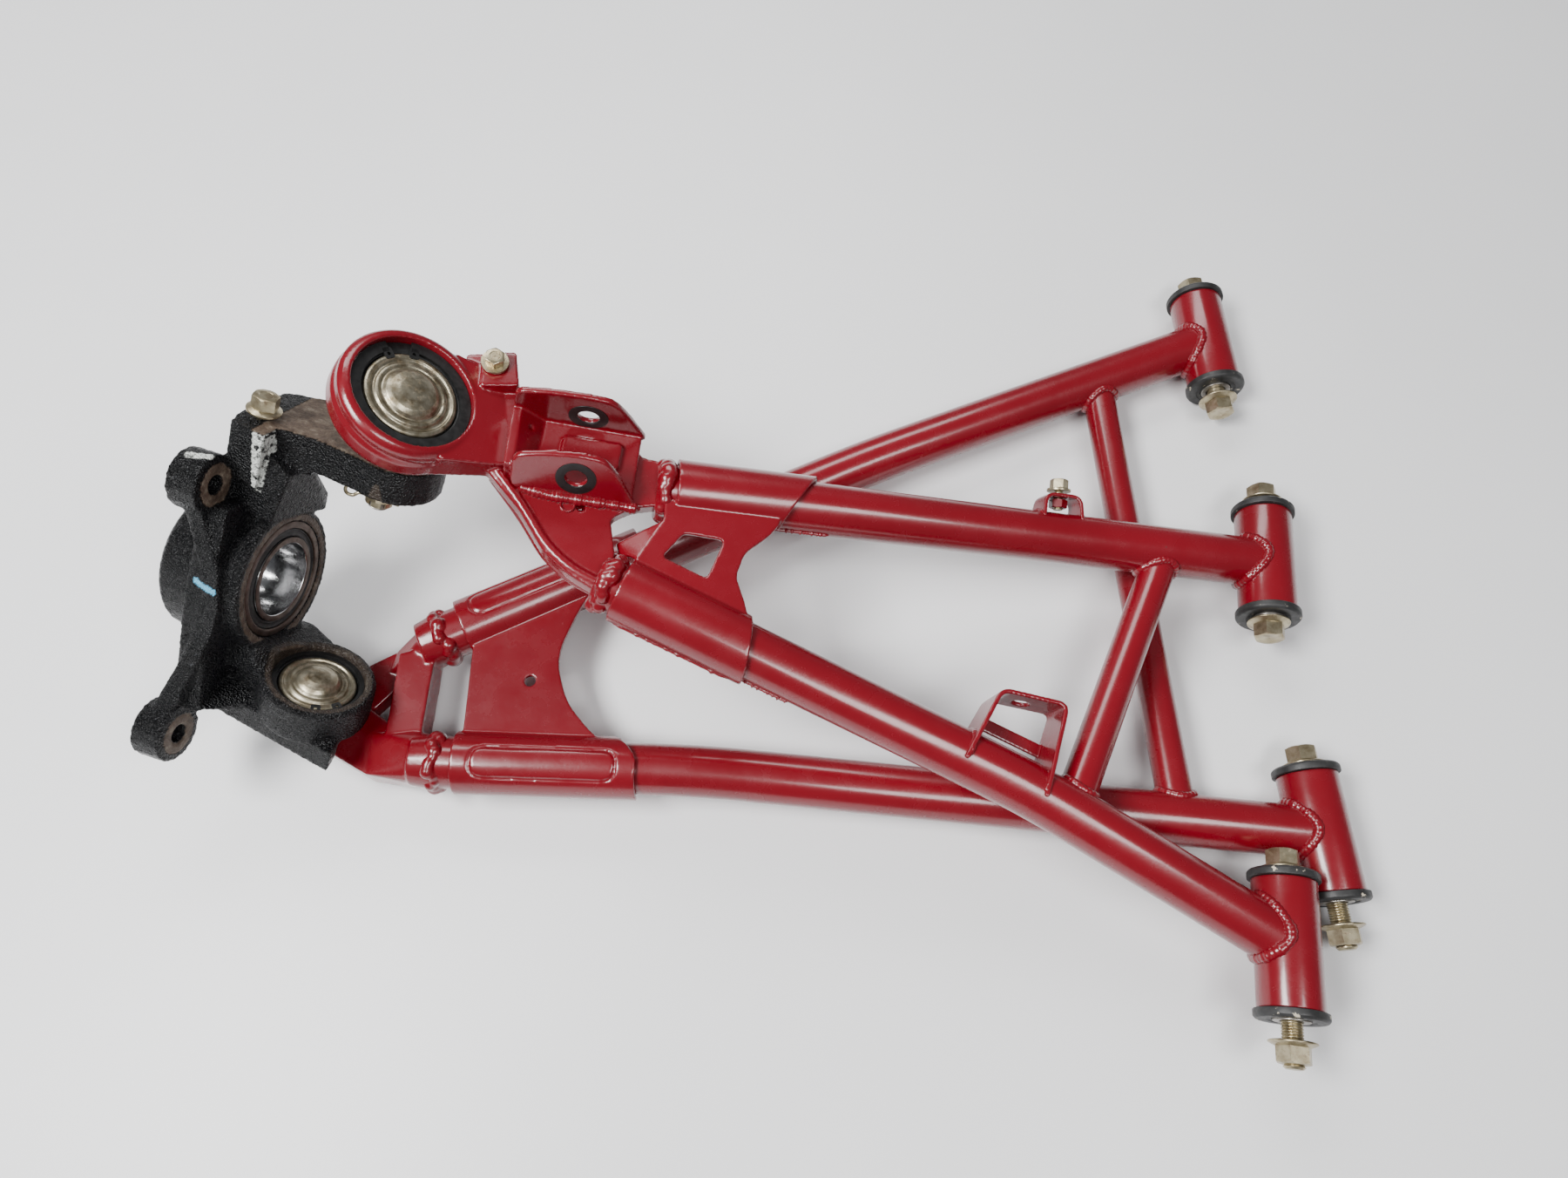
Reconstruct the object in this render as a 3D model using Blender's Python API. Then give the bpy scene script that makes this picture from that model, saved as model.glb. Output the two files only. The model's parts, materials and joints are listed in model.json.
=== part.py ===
"""Suspension corner: two tubular arms, a cast steering knuckle, two ball joints and four bushed pivots.

Lengths are metres, +Z is up, the lower arm lies flat on the floor plane z = 0.
"""
import math

import bmesh
import bpy
from mathutils import Matrix, Vector

# ---------------------------------------------------------------- driving dimensions
SHIFT = Vector((0.0140, -0.2750, 0.0))       # brings the middle of the footprint to the origin
GAP = 0.0003                                 # clearance between neighbouring pieces

TUBE_OD, TUBE_WALL = 0.0318, 0.0030          # main arm tubes
CROSS_OD = 0.0220                            # cross tubes
PIVOT_OD, PIVOT_ID, PIVOT_LENGTH = 0.0360, 0.0300, 0.0710
LIP_OD, LIP_THICK, SLEEVE_OD, SLEEVE_ID = 0.0400, 0.0050, 0.0200, 0.0130
BOLT_D, HEX_AF, FLANGE_D, FLANGE_T, HEX_H = 0.0120, 0.0170, 0.0260, 0.0022, 0.0095
SHEET = 0.0030                               # pressed sheet metal

# pivot centres and the directions of the two pivot lines (towards the rear)
LOWER_REAR, LOWER_FRONT = Vector((0.3064, 0.4907, 0.0200)), Vector((0.3234, 0.1350, 0.0200))
UPPER_REAR, UPPER_FRONT = Vector((0.3156, 0.3092, 0.0310)), Vector((0.2836, 0.0686, 0.0400))
LOWER_LINE = (LOWER_REAR - LOWER_FRONT).normalized()
UPPER_LINE = (UPPER_REAR - UPPER_FRONT).normalized()
# gaps between bolt flange and bushing at the front end and at the rear end, and where the head sits
PIVOTS = {
    "lower_rear": (LOWER_REAR, LOWER_LINE, 0.0070, 0.0006, "front"),
    "lower_front": (LOWER_FRONT, LOWER_LINE, 0.0120, 0.0006, "rear"),
    "upper_rear": (UPPER_REAR, UPPER_LINE, 0.0012, 0.0045, "front"),
    "upper_front": (UPPER_FRONT, UPPER_LINE, 0.0100, 0.0006, "rear"),
}

# arm tube centre lines, pivot end first
LOWER_REAR_PATH = [LOWER_REAR, Vector((0.060, 0.390, 0.024)), Vector((-0.216, 0.259, 0.028))]
LOWER_FRONT_PATH = [LOWER_FRONT, Vector((-0.050, 0.172, 0.026)), Vector((-0.211, 0.177, 0.028))]
LOWER_CROSS = [Vector((0.2235, 0.457, 0.0205)), Vector((0.2395, 0.144, 0.0205))]
UPPER_REAR_PATH = [UPPER_REAR, Vector((-0.070, 0.3170, 0.1168))]
UPPER_FRONT_PATH = [UPPER_FRONT, Vector((0.1420, 0.1500, 0.0680)), Vector((-0.0990, 0.2550, 0.1220))]
UPPER_CROSS = [Vector((0.2420, 0.3060, 0.0470)), Vector((0.1680, 0.1490, 0.0610))]

# ball joints
UPPER_BALL, LOWER_BALL = Vector((-0.2160, 0.3450, 0.1600)), Vector((-0.2850, 0.2110, 0.0480))
UPPER_STUD_AXIS = Vector((0.373, 0.513, 0.773)).normalized()     # points from nut to ball
UPPER_RING_AXIS = Vector((0.590, 0.050, 0.805)).normalized()
LOWER_RING_AXIS = Vector((0.385, 0.469, 0.791)).normalized()
LOWER_STUD_AXIS = Vector((0.060, 0.080, 0.995)).normalized()
UPPER_RING_TOP = 0.0225                      # ring face above the ball centre
RING_R, RING_BORE_R, RING_HEIGHT = 0.0412, 0.0340, 0.0240

# knuckle frame: W runs out along the wheel axis, K up along the steering axis, N the third way
HUB = Vector((-0.2978, 0.2723, 0.0886))      # middle of the inner bearing face
W = Vector((-0.949, 0.312, 0.019)).normalized()
K = (UPPER_BALL - LOWER_BALL)
K = (K - W * K.dot(W)).normalized()
N = K.cross(W)
HUB_R, HUB_LENGTH, BEARING_R, BEARING_BORE_R = 0.0430, 0.0520, 0.0360, 0.0225

PAINT = ("red_paint", (0.50, 0.012, 0.025), 0.0, 0.30)
CAST = ("black_casting", (0.015, 0.015, 0.016), 0.3, 0.62)
ZINC = ("zinc_plate", (0.55, 0.50, 0.38), 0.9, 0.38)
STEEL = ("bright_steel", (0.62, 0.62, 0.62), 1.0, 0.22)
RUST = ("rusty_steel", (0.16, 0.095, 0.06), 0.6, 0.60)
PLASTIC = ("black_plastic", (0.012, 0.012, 0.012), 0.0, 0.45)
RUBBER = ("black_rubber", (0.010, 0.010, 0.010), 0.0, 0.75)


# ---------------------------------------------------------------- helpers
def clear_scene():
    for item in list(bpy.data.objects):
        bpy.data.objects.remove(item, do_unlink=True)


def material(spec):
    name, colour, metallic, roughness = spec
    found = bpy.data.materials.get(name)
    if found:
        return found
    made = bpy.data.materials.new(name)
    made.use_nodes = True
    shader = made.node_tree.nodes["Principled BSDF"]
    shader.inputs["Base Color"].default_value = (*colour, 1.0)
    shader.inputs["Metallic"].default_value = metallic
    shader.inputs["Roughness"].default_value = roughness
    return made


def frame(origin, z_axis, x_hint=Vector((1, 0, 0))):
    z = Vector(z_axis).normalized()
    x = Vector(x_hint)
    x = x - z * x.dot(z)
    if x.length < 1e-6:
        x = Vector((0, 1, 0)) - z * z.y
    x.normalize()
    turn = Matrix((x, z.cross(x), z)).transposed().to_4x4()
    return Matrix.Translation(origin) @ turn


def solid(verts, faces, where=None):
    """A closed mesh from raw points, with its faces turned outwards."""
    body = bmesh.new()
    made = [body.verts.new((where @ Vector(v)) if where else v) for v in verts]
    for face in faces:
        body.faces.new([made[i] for i in face])
    bmesh.ops.triangulate(body, faces=[f for f in body.faces if len(f.verts) > 3])
    bmesh.ops.recalc_face_normals(body, faces=body.faces)
    mesh = bpy.data.meshes.new("solid")
    body.to_mesh(mesh)
    body.free()
    return mesh


def lathe(profile, where, steps=24):
    """Turn a closed (radius, height) outline about the Z of `where`; points may lie on the axis."""
    verts, rows = [], []
    for radius, height in profile:
        if radius < 1e-7:
            rows.append([len(verts)] * steps)
            verts.append((0, 0, height))
        else:
            rows.append(list(range(len(verts), len(verts) + steps)))
            verts += [(radius * math.cos(2 * math.pi * i / steps), radius * math.sin(2 * math.pi * i / steps),
                       height) for i in range(steps)]
    faces = []
    for a, b in zip(rows, rows[1:] + rows[:1]):
        if a[0] == a[1] and b[0] == b[1]:
            continue
        for i in range(steps):
            j = (i + 1) % steps
            ring = [a[i], a[j], b[j], b[i]]
            faces.append([v for n, v in enumerate(ring) if v != ring[n - 1]])
    return solid(verts, faces, where)


def rod(radius, bottom, top, where, steps=24, bore=0.0):
    if bore:
        return lathe([(bore, bottom), (radius, bottom), (radius, top), (bore, top)], where, steps)
    return lathe([(0, bottom), (radius, bottom), (radius, top), (0, top)], where, steps)


def prism(outline, bottom, top, where):
    """Extrude an (x, y) outline from height bottom to height top."""
    count = len(outline)
    verts = [(x, y, bottom) for x, y in outline] + [(x, y, top) for x, y in outline]
    faces = [list(range(count))[::-1], list(range(count, 2 * count))]
    faces += [[i, (i + 1) % count, count + (i + 1) % count, count + i] for i in range(count)]
    return solid(verts, faces, where)


def hexagon(across_flats):
    radius = across_flats / math.sqrt(3)
    return [(radius * math.cos(math.pi * i / 3), radius * math.sin(math.pi * i / 3)) for i in range(6)]


def arc(cx, cy, radius, start, end, steps):
    """Points on a circular arc, angles in degrees."""
    angles = [math.radians(start + (end - start) * i / steps) for i in range(steps + 1)]
    return [(cx + radius * math.cos(a), cy + radius * math.sin(a)) for a in angles]


def hull(points):
    body = bmesh.new()
    for point in points:
        body.verts.new(point)
    made = bmesh.ops.convex_hull(body, input=body.verts)
    loose = [g for g in made["geom_interior"] + made["geom_unused"] if isinstance(g, bmesh.types.BMVert)]
    bmesh.ops.delete(body, geom=list(set(loose)), context="VERTS")
    bmesh.ops.recalc_face_normals(body, faces=body.faces)
    mesh = bpy.data.meshes.new("hull")
    body.to_mesh(mesh)
    body.free()
    return mesh


def circle(centre, axis, radius, steps=16):
    where = frame(centre, axis)
    return [where @ Vector((x, y, 0)) for x, y in arc(0, 0, radius, 0, 360 - 360 / steps, steps - 1)]


def sweep(path, outer, bore=0.0, steps=16):
    """A round bar or hollow tube along straight legs with mitred corners."""
    points = [Vector(p) for p in path]
    legs = [(b - a).normalized() for a, b in zip(points, points[1:])]
    rings = []
    side = frame(points[0], legs[0], (0, 0, 1)).to_3x3().col[0].copy()
    for index, point in enumerate(points):
        before, after = legs[max(index - 1, 0)], legs[min(index, len(legs) - 1)]
        cut = (before + after).normalized()
        side = (side - before * side.dot(before)).normalized()
        up = before.cross(side)
        rows = []
        for radius in ([outer, bore] if bore else [outer]):
            row = []
            for x, y in arc(0, 0, radius, 0, 360 - 360 / steps, steps - 1):
                offset = side * x + up * y
                row.append(point + offset - before * (offset.dot(cut) / before.dot(cut)))
            rows.append(row)
        rings.append(rows)
    verts = [v for rows in rings for row in rows for v in row]
    per = steps * (2 if bore else 1)

    def at(ring, layer, i):
        return ring * per + layer * steps + i % steps

    faces, last = [], len(points) - 1
    for ring in range(last):
        for layer in range(2 if bore else 1):
            faces += [[at(ring, layer, i), at(ring, layer, i + 1), at(ring + 1, layer, i + 1),
                       at(ring + 1, layer, i)] for i in range(steps)]
    for ring in (0, last):
        if bore:
            faces += [[at(ring, 0, i), at(ring, 0, i + 1), at(ring, 1, i + 1), at(ring, 1, i)]
                      for i in range(steps)]
        else:
            faces.append([at(ring, 0, i) for i in range(steps)])
    return solid(verts, faces)


def volume_and_state(mesh):
    body = bmesh.new()
    body.from_mesh(mesh)
    volume = body.calc_volume(signed=True) if body.verts else 0.0
    state = bool(body.verts) and closed(body)
    body.free()
    return volume, state


def boolean_once(base, tool, operation, nudge):
    """One exact boolean, with the tool moved by a few microns where a first try met coplanar faces."""
    scene = bpy.context.scene.collection
    target, helper = bpy.data.objects.new("base", base), bpy.data.objects.new("tool", tool)
    helper.location = Vector((0.7, -0.5, 0.3)) * nudge
    scene.objects.link(target)
    scene.objects.link(helper)
    step = target.modifiers.new("step", "BOOLEAN")
    step.operation, step.solver, step.object = operation, "EXACT", helper
    bpy.context.view_layer.update()
    graph = bpy.context.evaluated_depsgraph_get()
    result = bpy.data.meshes.new_from_object(target.evaluated_get(graph))
    for item in (target, helper):
        bpy.data.objects.remove(item, do_unlink=True)
    body = bmesh.new()
    body.from_mesh(result)
    bmesh.ops.remove_doubles(body, verts=body.verts, dist=1e-6)
    bmesh.ops.triangulate(body, faces=body.faces)
    body.to_mesh(result)
    body.free()
    return result


def cut_or_join(base, others, operation):
    """Exact boolean of meshes, one tool at a time; the result is a plain mesh."""
    for tool in others:
        before, added = volume_and_state(base)[0], volume_and_state(tool)[0]
        for nudge in (0.0, 7e-6, -1.3e-5, 2.3e-5, -3.1e-5):
            result = boolean_once(base, tool, operation, nudge)
            after, good = volume_and_state(result)
            low, high = before - added, before
            if operation == "UNION":
                low, high = max(before, added), before + added
            if operation == "INTERSECT" or (good and low * 0.999 <= after <= high * 1.001 and after > 0):
                break
        base = result
    return base


def join(*meshes):
    return cut_or_join(meshes[0], meshes[1:], "UNION")


def cut(base, *tools):
    return cut_or_join(base, tools, "DIFFERENCE")


def closed(body):
    return all(len(edge.link_faces) == 2 for edge in body.edges)


def tidy(mesh):
    """Clear the slivers a boolean leaves: the coarsest merge that keeps the body closed wins."""
    for distance, flat in ((3e-5, 0.012), (1e-5, 0.012), (3e-6, 0.004), (1e-6, 0.0)):
        body = bmesh.new()
        body.from_mesh(mesh)
        bmesh.ops.remove_doubles(body, verts=body.verts, dist=distance)
        if flat:
            bmesh.ops.dissolve_limit(body, angle_limit=flat, verts=body.verts, edges=body.edges)
        bmesh.ops.dissolve_degenerate(body, edges=body.edges, dist=distance / 3)
        bmesh.ops.triangulate(body, faces=body.faces)
        bmesh.ops.recalc_face_normals(body, faces=body.faces)
        good = closed(body)
        if good:
            body.to_mesh(mesh)
        body.free()
        if good:
            break
    return mesh


def piece(name, mesh, look, origin=Vector((0, 0, 0))):
    """Put a finished mesh in the scene with its origin on the given point."""
    origin = Vector(origin)
    mesh = tidy(mesh)
    mesh.transform(Matrix.Translation(-origin))
    mesh.name = name
    mesh.materials.clear()
    mesh.materials.append(material(look))
    item = bpy.data.objects.new(name, mesh)
    item.location = origin + SHIFT
    PARTS.objects.link(item)
    return item


# ---------------------------------------------------------------- pivots
def pivot_cutter(centre, line):
    return rod(PIVOT_OD / 2 + GAP, -0.06, 0.06, frame(centre, line), 32)


def build_pivot(name, centre, line, front_gap, rear_gap, head_side):
    where = frame(centre, line, (0, 0, 1))
    half = PIVOT_LENGTH / 2
    piece(name + "_pivot_tube", rod(PIVOT_OD / 2, -half, half, where, 24, PIVOT_ID / 2), PAINT, centre)
    for side, label in ((-1, "front"), (1, "rear")):
        flip = where @ Matrix.Rotation(math.pi if side < 0 else 0.0, 4, "X")
        inner, barrel, lip = SLEEVE_OD / 2 + GAP, PIVOT_ID / 2 - GAP, LIP_OD / 2
        start = half + GAP
        outline = [(inner, half - 0.026), (barrel, half - 0.026), (barrel, start), (lip, start),
                   (lip, start + LIP_THICK - 0.001), (lip - 0.001, start + LIP_THICK), (inner, start + LIP_THICK)]
        piece(f"{name}_bushing_{label}", lathe(outline, flip, 20), PLASTIC, centre)
    reach = half + LIP_THICK + 2 * GAP
    piece(name + "_sleeve", rod(SLEEVE_OD / 2, -reach, reach, where, 16, SLEEVE_ID / 2), STEEL, centre)
    head_at_front = head_side == "front"
    turned = where @ Matrix.Rotation(math.pi if head_at_front else 0.0, 4, "X")
    head_gap, nut_gap = (front_gap, rear_gap) if head_at_front else (rear_gap, front_gap)
    head, nut = reach + head_gap, reach + nut_gap
    shank = rod(BOLT_D / 2, -nut - HEX_H - FLANGE_T - 0.0025, head + 0.001, turned, 12)
    flange = lathe([(0, head), (FLANGE_D / 2, head), (FLANGE_D / 2, head + 0.0012),
                    (HEX_AF / 2, head + FLANGE_T + 0.001), (0, head + FLANGE_T + 0.001)], turned, 16)
    hexa = prism(hexagon(HEX_AF), head + 0.001, head + FLANGE_T + HEX_H, turned)
    piece(name + "_bolt", join(shank, flange, hexa), ZINC, centre)
    nut_turn = turned @ Matrix.Rotation(math.pi, 4, "X")
    flange = lathe([(0, nut), (FLANGE_D / 2, nut), (FLANGE_D / 2, nut + 0.0012),
                    (HEX_AF / 2, nut + FLANGE_T + 0.001), (0, nut + FLANGE_T + 0.001)], nut_turn, 16)
    hexa = prism(hexagon(HEX_AF), nut + 0.001, nut + FLANGE_T + HEX_H, nut_turn)
    hole = rod(BOLT_D / 2 + GAP, nut - 0.01, nut + 0.03, nut_turn, 12)
    piece(name + "_nut", cut(join(flange, hexa), hole), ZINC, centre)


# ---------------------------------------------------------------- lower arm
def build_lower_arm():
    bore = TUBE_OD / 2 - TUBE_WALL
    rear = cut(sweep(LOWER_REAR_PATH, TUBE_OD / 2, bore), pivot_cutter(LOWER_REAR, LOWER_LINE))
    front = cut(sweep(LOWER_FRONT_PATH, TUBE_OD / 2, bore), pivot_cutter(LOWER_FRONT, LOWER_LINE))
    piece("lower_rear_tube", keep_largest(rear), PAINT)
    piece("lower_front_tube", keep_largest(front), PAINT)
    solid_rear = sweep(LOWER_REAR_PATH, TUBE_OD / 2 + GAP)
    solid_front = sweep(LOWER_FRONT_PATH, TUBE_OD / 2 + GAP)
    cross = cut(sweep(LOWER_CROSS, CROSS_OD / 2, CROSS_OD / 2 - 0.0025, 16), solid_rear, solid_front)
    piece("lower_cross_tube", keep_largest(cross), PAINT)
    build_lower_gusset()
    build_lower_head()


def keep_largest(mesh):
    """Keep only the biggest connected body (the coped-off tube tips fall away)."""
    body = bmesh.new()
    body.from_mesh(mesh)
    left, islands = set(body.verts), []
    while left:
        stack, island = [left.pop()], []
        while stack:
            vert = stack.pop()
            island.append(vert)
            for edge in vert.link_edges:
                other = edge.other_vert(vert)
                if other in left:
                    left.remove(other)
                    stack.append(other)
        islands.append(island)
    islands.sort(key=lambda i: sum(f.calc_area() for f in {f for v in i for f in v.link_faces}))
    for island in islands[:-1]:
        bmesh.ops.delete(body, geom=island, context="VERTS")
    body.to_mesh(mesh)
    body.free()
    return mesh


def saddle(start, end, low, high, up):
    """Sheet wrapped over a tube between two points of its centre line; low and high in degrees."""
    where = frame(start, end - start, up)
    length = (end - start).length
    inner = (TUBE_OD / 2 + 1.2 * GAP) / math.cos(math.radians(high - low) / 18)
    outer = inner + SHEET
    outline = arc(0, 0, outer, low, high, 9) + arc(0, 0, inner, high, low, 9)
    return prism(outline, 0.0, length, where)


def build_lower_gusset():
    leg = (LOWER_FRONT_PATH[2] - LOWER_FRONT_PATH[1]).normalized()
    front_a = LOWER_FRONT_PATH[1] + leg * 0.039
    front_b = LOWER_FRONT_PATH[1] + leg * 0.150
    slope = (LOWER_REAR_PATH[2] - LOWER_REAR_PATH[1]).normalized()
    rear_b = LOWER_REAR_PATH[2] - slope * 0.012
    rear_a = rear_b - slope * 0.125
    front = saddle(front_a, front_b, -95, 95, (0, 0, 1))
    rear = saddle(rear_a, rear_b, -95, 95, (0, 0, 1))
    scoop = [(-0.1070, 0.1850), (-0.1187, 0.1943), (-0.1345, 0.2127), (-0.1412, 0.2366), (-0.1401, 0.2494),
             (-0.1299, 0.2761), (-0.1180, 0.2920)]
    web = prism([(-0.1960, 0.187)] + scoop + [(-0.1960, 0.255)], 0.0345, 0.0375, Matrix.Identity(4))
    hole = rod(0.0035, 0.0, 0.06, frame(Vector((-0.1578, 0.2262, 0)), (0, 0, 1)), 12)
    clear = [sweep(LOWER_FRONT_PATH, TUBE_OD / 2 + GAP), sweep(LOWER_REAR_PATH, TUBE_OD / 2 + GAP)]
    piece("lower_gusset", keep_largest(join(cut(web, hole, *clear), front, rear)), PAINT)


def build_lower_head():
    centre = LOWER_BALL - LOWER_STUD_AXIS * 0.030
    boss = circle(centre, LOWER_STUD_AXIS, 0.0190, 20)
    low, high = LOWER_STUD_AXIS * -0.0075, LOWER_STUD_AXIS * 0.0040
    boss_points = [p + low for p in boss] + [p + high for p in boss]
    front_leg = (LOWER_FRONT_PATH[2] - LOWER_FRONT_PATH[1]).normalized()
    rear_leg = (LOWER_REAR_PATH[2] - LOWER_REAR_PATH[1]).normalized()
    front_end = circle(LOWER_FRONT_PATH[2] + front_leg * (GAP + 0.0002), front_leg, 0.0165)
    rear_end = circle(LOWER_REAR_PATH[2] + rear_leg * (GAP + 0.0002), rear_leg, 0.0165)
    front_mid = [Vector((x, y, z)) for x, y in ((-0.254, 0.169), (-0.238, 0.197), (-0.254, 0.195))
                 for z in (0.008, 0.030)]
    rear_mid = [Vector((x, y, z)) for x, y in ((-0.249, 0.251), (-0.238, 0.234), (-0.252, 0.237))
                for z in (0.008, 0.021)]
    body = join(hull(boss_points), hull(front_end + front_mid), hull(front_mid + boss_points),
                hull(rear_end + rear_mid), hull(rear_mid + boss_points))
    bridge = prism([(-0.2450, 0.185), (-0.2230, 0.185), (-0.2200, 0.252), (-0.2430, 0.246)], 0.012, 0.0330,
                   Matrix.Identity(4))
    hole = rod(0.0083, -0.03, 0.03, frame(centre, LOWER_STUD_AXIS), 20)
    room = rod(0.0185, 0.0045, 0.05, frame(centre, LOWER_STUD_AXIS), 24)
    clear = [sweep(LOWER_FRONT_PATH, TUBE_OD / 2 + GAP), sweep(LOWER_REAR_PATH, TUBE_OD / 2 + GAP)]
    under = prism(hexagon(0.0200), -0.03, -0.0069, frame(centre, LOWER_STUD_AXIS))
    piece("lower_head", keep_largest(cut(join(body, bridge), hole, room, under, *clear)), PAINT)


# ---------------------------------------------------------------- upper arm
UPPER_PLANE_UP = Vector((0.225, -0.0076, 1.0)).normalized()


def on_upper_plane(x, y, lift=0.0):
    """A point of the upper arm's middle plane above (x, y), raised by lift along the plane's normal."""
    return Vector((x, y, 0.0997 - 0.225 * x + 0.0076 * y)) + UPPER_PLANE_UP * lift


def plane_prism(outline, bottom, top):
    verts = [on_upper_plane(x, y, bottom) for x, y in outline] + [on_upper_plane(x, y, top) for x, y in outline]
    count = len(outline)
    faces = [list(range(count))[::-1], list(range(count, 2 * count))]
    faces += [[i, (i + 1) % count, count + (i + 1) % count, count + i] for i in range(count)]
    return solid(verts, faces)


def build_upper_arm():
    bore = TUBE_OD / 2 - TUBE_WALL
    rear = cut(sweep(UPPER_REAR_PATH, TUBE_OD / 2, bore), pivot_cutter(UPPER_REAR, UPPER_LINE))
    front = cut(sweep(UPPER_FRONT_PATH, TUBE_OD / 2, bore), pivot_cutter(UPPER_FRONT, UPPER_LINE))
    piece("upper_rear_tube", keep_largest(rear), PAINT)
    piece("upper_front_tube", keep_largest(front), PAINT)
    clear = [sweep(UPPER_REAR_PATH, TUBE_OD / 2 + GAP), sweep(UPPER_FRONT_PATH, TUBE_OD / 2 + GAP)]
    cross = cut(sweep(UPPER_CROSS, CROSS_OD / 2, CROSS_OD / 2 - 0.0025, 16), *clear)
    piece("upper_cross_tube", keep_largest(cross), PAINT)
    build_upper_gusset(clear)
    build_upper_head(clear)
    build_clevis(clear)
    build_hose_brackets(clear)


def build_upper_gusset(clear):
    rear_leg = (UPPER_REAR_PATH[1] - UPPER_REAR_PATH[0]).normalized()
    rear_b = UPPER_REAR_PATH[1] - rear_leg * 0.006
    rear = saddle(rear_b - rear_leg * 0.085, rear_b, -80, 100, UPPER_PLANE_UP)
    front_leg = (UPPER_FRONT_PATH[2] - UPPER_FRONT_PATH[1]).normalized()
    front_b = UPPER_FRONT_PATH[2] - front_leg * 0.008
    front = saddle(front_b - front_leg * 0.078, front_b, -100, 80, UPPER_PLANE_UP)
    outline = [(-0.004, 0.298), (-0.0098, 0.2898), (-0.0246, 0.2765), (-0.0295, 0.2615),
               (-0.0236, 0.2438), (-0.021, 0.229), (-0.055, 0.2440), (-0.095, 0.2600), (-0.0926, 0.2795),
               (-0.071, 0.306), (-0.004, 0.306)]
    web = plane_prism(outline, 0.0080, 0.0110)
    corners = [(-0.0591, 0.2855), (-0.0364, 0.2835), (-0.0453, 0.2595), (-0.0670, 0.2705)]
    window = plane_prism(corners, 0.0, 0.02)
    piece("upper_gusset", keep_largest(join(cut(web, window, *clear), rear, front)), PAINT)


def build_upper_head(clear):
    where = frame(UPPER_BALL, UPPER_RING_AXIS)
    top = UPPER_RING_TOP
    base = top - RING_HEIGHT
    ring = lathe([(0, base), (RING_R - 0.003, base), (RING_R, base + 0.003), (RING_R, top - 0.004),
                  (RING_R - 0.003, top - 0.001), (RING_R - 0.006, top), (0, top)], where, 32)
    neck_top = [where @ Vector((x, y, z)) for x, y in ((0.020, 0.036), (0.020, -0.036))
                for z in (base + 0.002, top - 0.002)]
    neck_end = [on_upper_plane(x, y, z) for x, y in ((-0.158, 0.372), (-0.150, 0.318))
                for z in (-0.006, 0.0068)]
    neck = hull(neck_top + neck_end)
    outline = [(-0.165, 0.374), (-0.150, 0.356), (-0.084, 0.350), (-0.078, 0.335), (-0.082, 0.300),
               (-0.100, 0.292), (-0.096, 0.268), (-0.104, 0.246), (-0.120, 0.255), (-0.135, 0.268),
               (-0.150, 0.292), (-0.172, 0.318)]
    plate = plane_prism(outline, -0.003, 0.007)
    rim = plane_prism([(-0.104, 0.246), (-0.120, 0.255), (-0.135, 0.268), (-0.150, 0.292), (-0.176, 0.322),
                       (-0.170, 0.325), (-0.144, 0.295), (-0.130, 0.272), (-0.117, 0.260), (-0.103, 0.252)],
                      -0.013, 0.0070)
    feet = ((-0.186, 0.384), (-0.160, 0.390), (-0.156, 0.366), (-0.182, 0.362))
    boss = hull([on_upper_plane(x, y, z) for x, y in feet for z in (-0.004, 0.017)])
    bore = rod(RING_BORE_R, base - 0.03, top + 0.03, where, 32)
    seat = rod(0.0042, -0.1, 0.1, head_bolt_frame(), 12)
    body = cut(join(ring, neck, plate, rim, boss), bore, seat, *clear)
    piece("upper_head", keep_largest(body), PAINT, UPPER_BALL)
    bolt = head_bolt_frame()
    hexa = prism(hexagon(0.010), 0.0015, 0.0075, bolt)
    collar = rod(0.0080, 0.0003, 0.0020, bolt, 16)
    stem = rod(0.0038, -0.0140, 0.0015, bolt, 12)
    piece("upper_head_bolt", join(stem, collar, hexa), ZINC, bolt.translation)


def head_bolt_frame():
    return frame(on_upper_plane(-0.1705, 0.3785, 0.017), UPPER_PLANE_UP)


# shock clevis: channel with two ears standing on the head plate
SHOCK_PIN = (Vector((-0.1117, 0.3477, 0.1500)), Vector((-0.1159, 0.3089, 0.1500)))


def build_clevis(clear):
    base = 0.0082
    floor = plane_prism([(-0.150, 0.3515), (-0.090, 0.3470), (-0.094, 0.3060), (-0.154, 0.3110)],
                        base, base + 0.0030)
    sheets = [floor]
    far = [(-0.156, base), (-0.084, base), (-0.0950, 0.0300), (-0.1040, 0.0400), (-0.118, 0.0410),
           (-0.1550, 0.0350)]
    near = [(-0.155, base), (-0.089, base), (-0.0975, 0.0270), (-0.1050, 0.0350), (-0.119, 0.0360),
            (-0.1540, 0.0290)]
    for ear, y_in, side, lean in ((far, 0.3470, 1, 0.0), (near, 0.3060, -1, 0.34)):
        verts = []
        for thick in (0.0, 0.0040 * side):
            for x, z in ear:
                verts.append(on_upper_plane(x, y_in - 0.07 * (x + 0.12) + thick + lean * (z - base), z))
        count = len(ear)
        faces = [list(range(count))[::-1], list(range(count, 2 * count))]
        faces += [[i, (i + 1) % count, count + (i + 1) % count, count + i] for i in range(count)]
        sheets.append(solid(verts, faces))
    pin = frame(SHOCK_PIN[0], SHOCK_PIN[0] - SHOCK_PIN[1])
    hole = rod(0.0062, -0.2, 0.2, pin, 20)
    piece("shock_clevis", keep_largest(cut(join(*sheets), hole, *clear)), PAINT)


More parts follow.
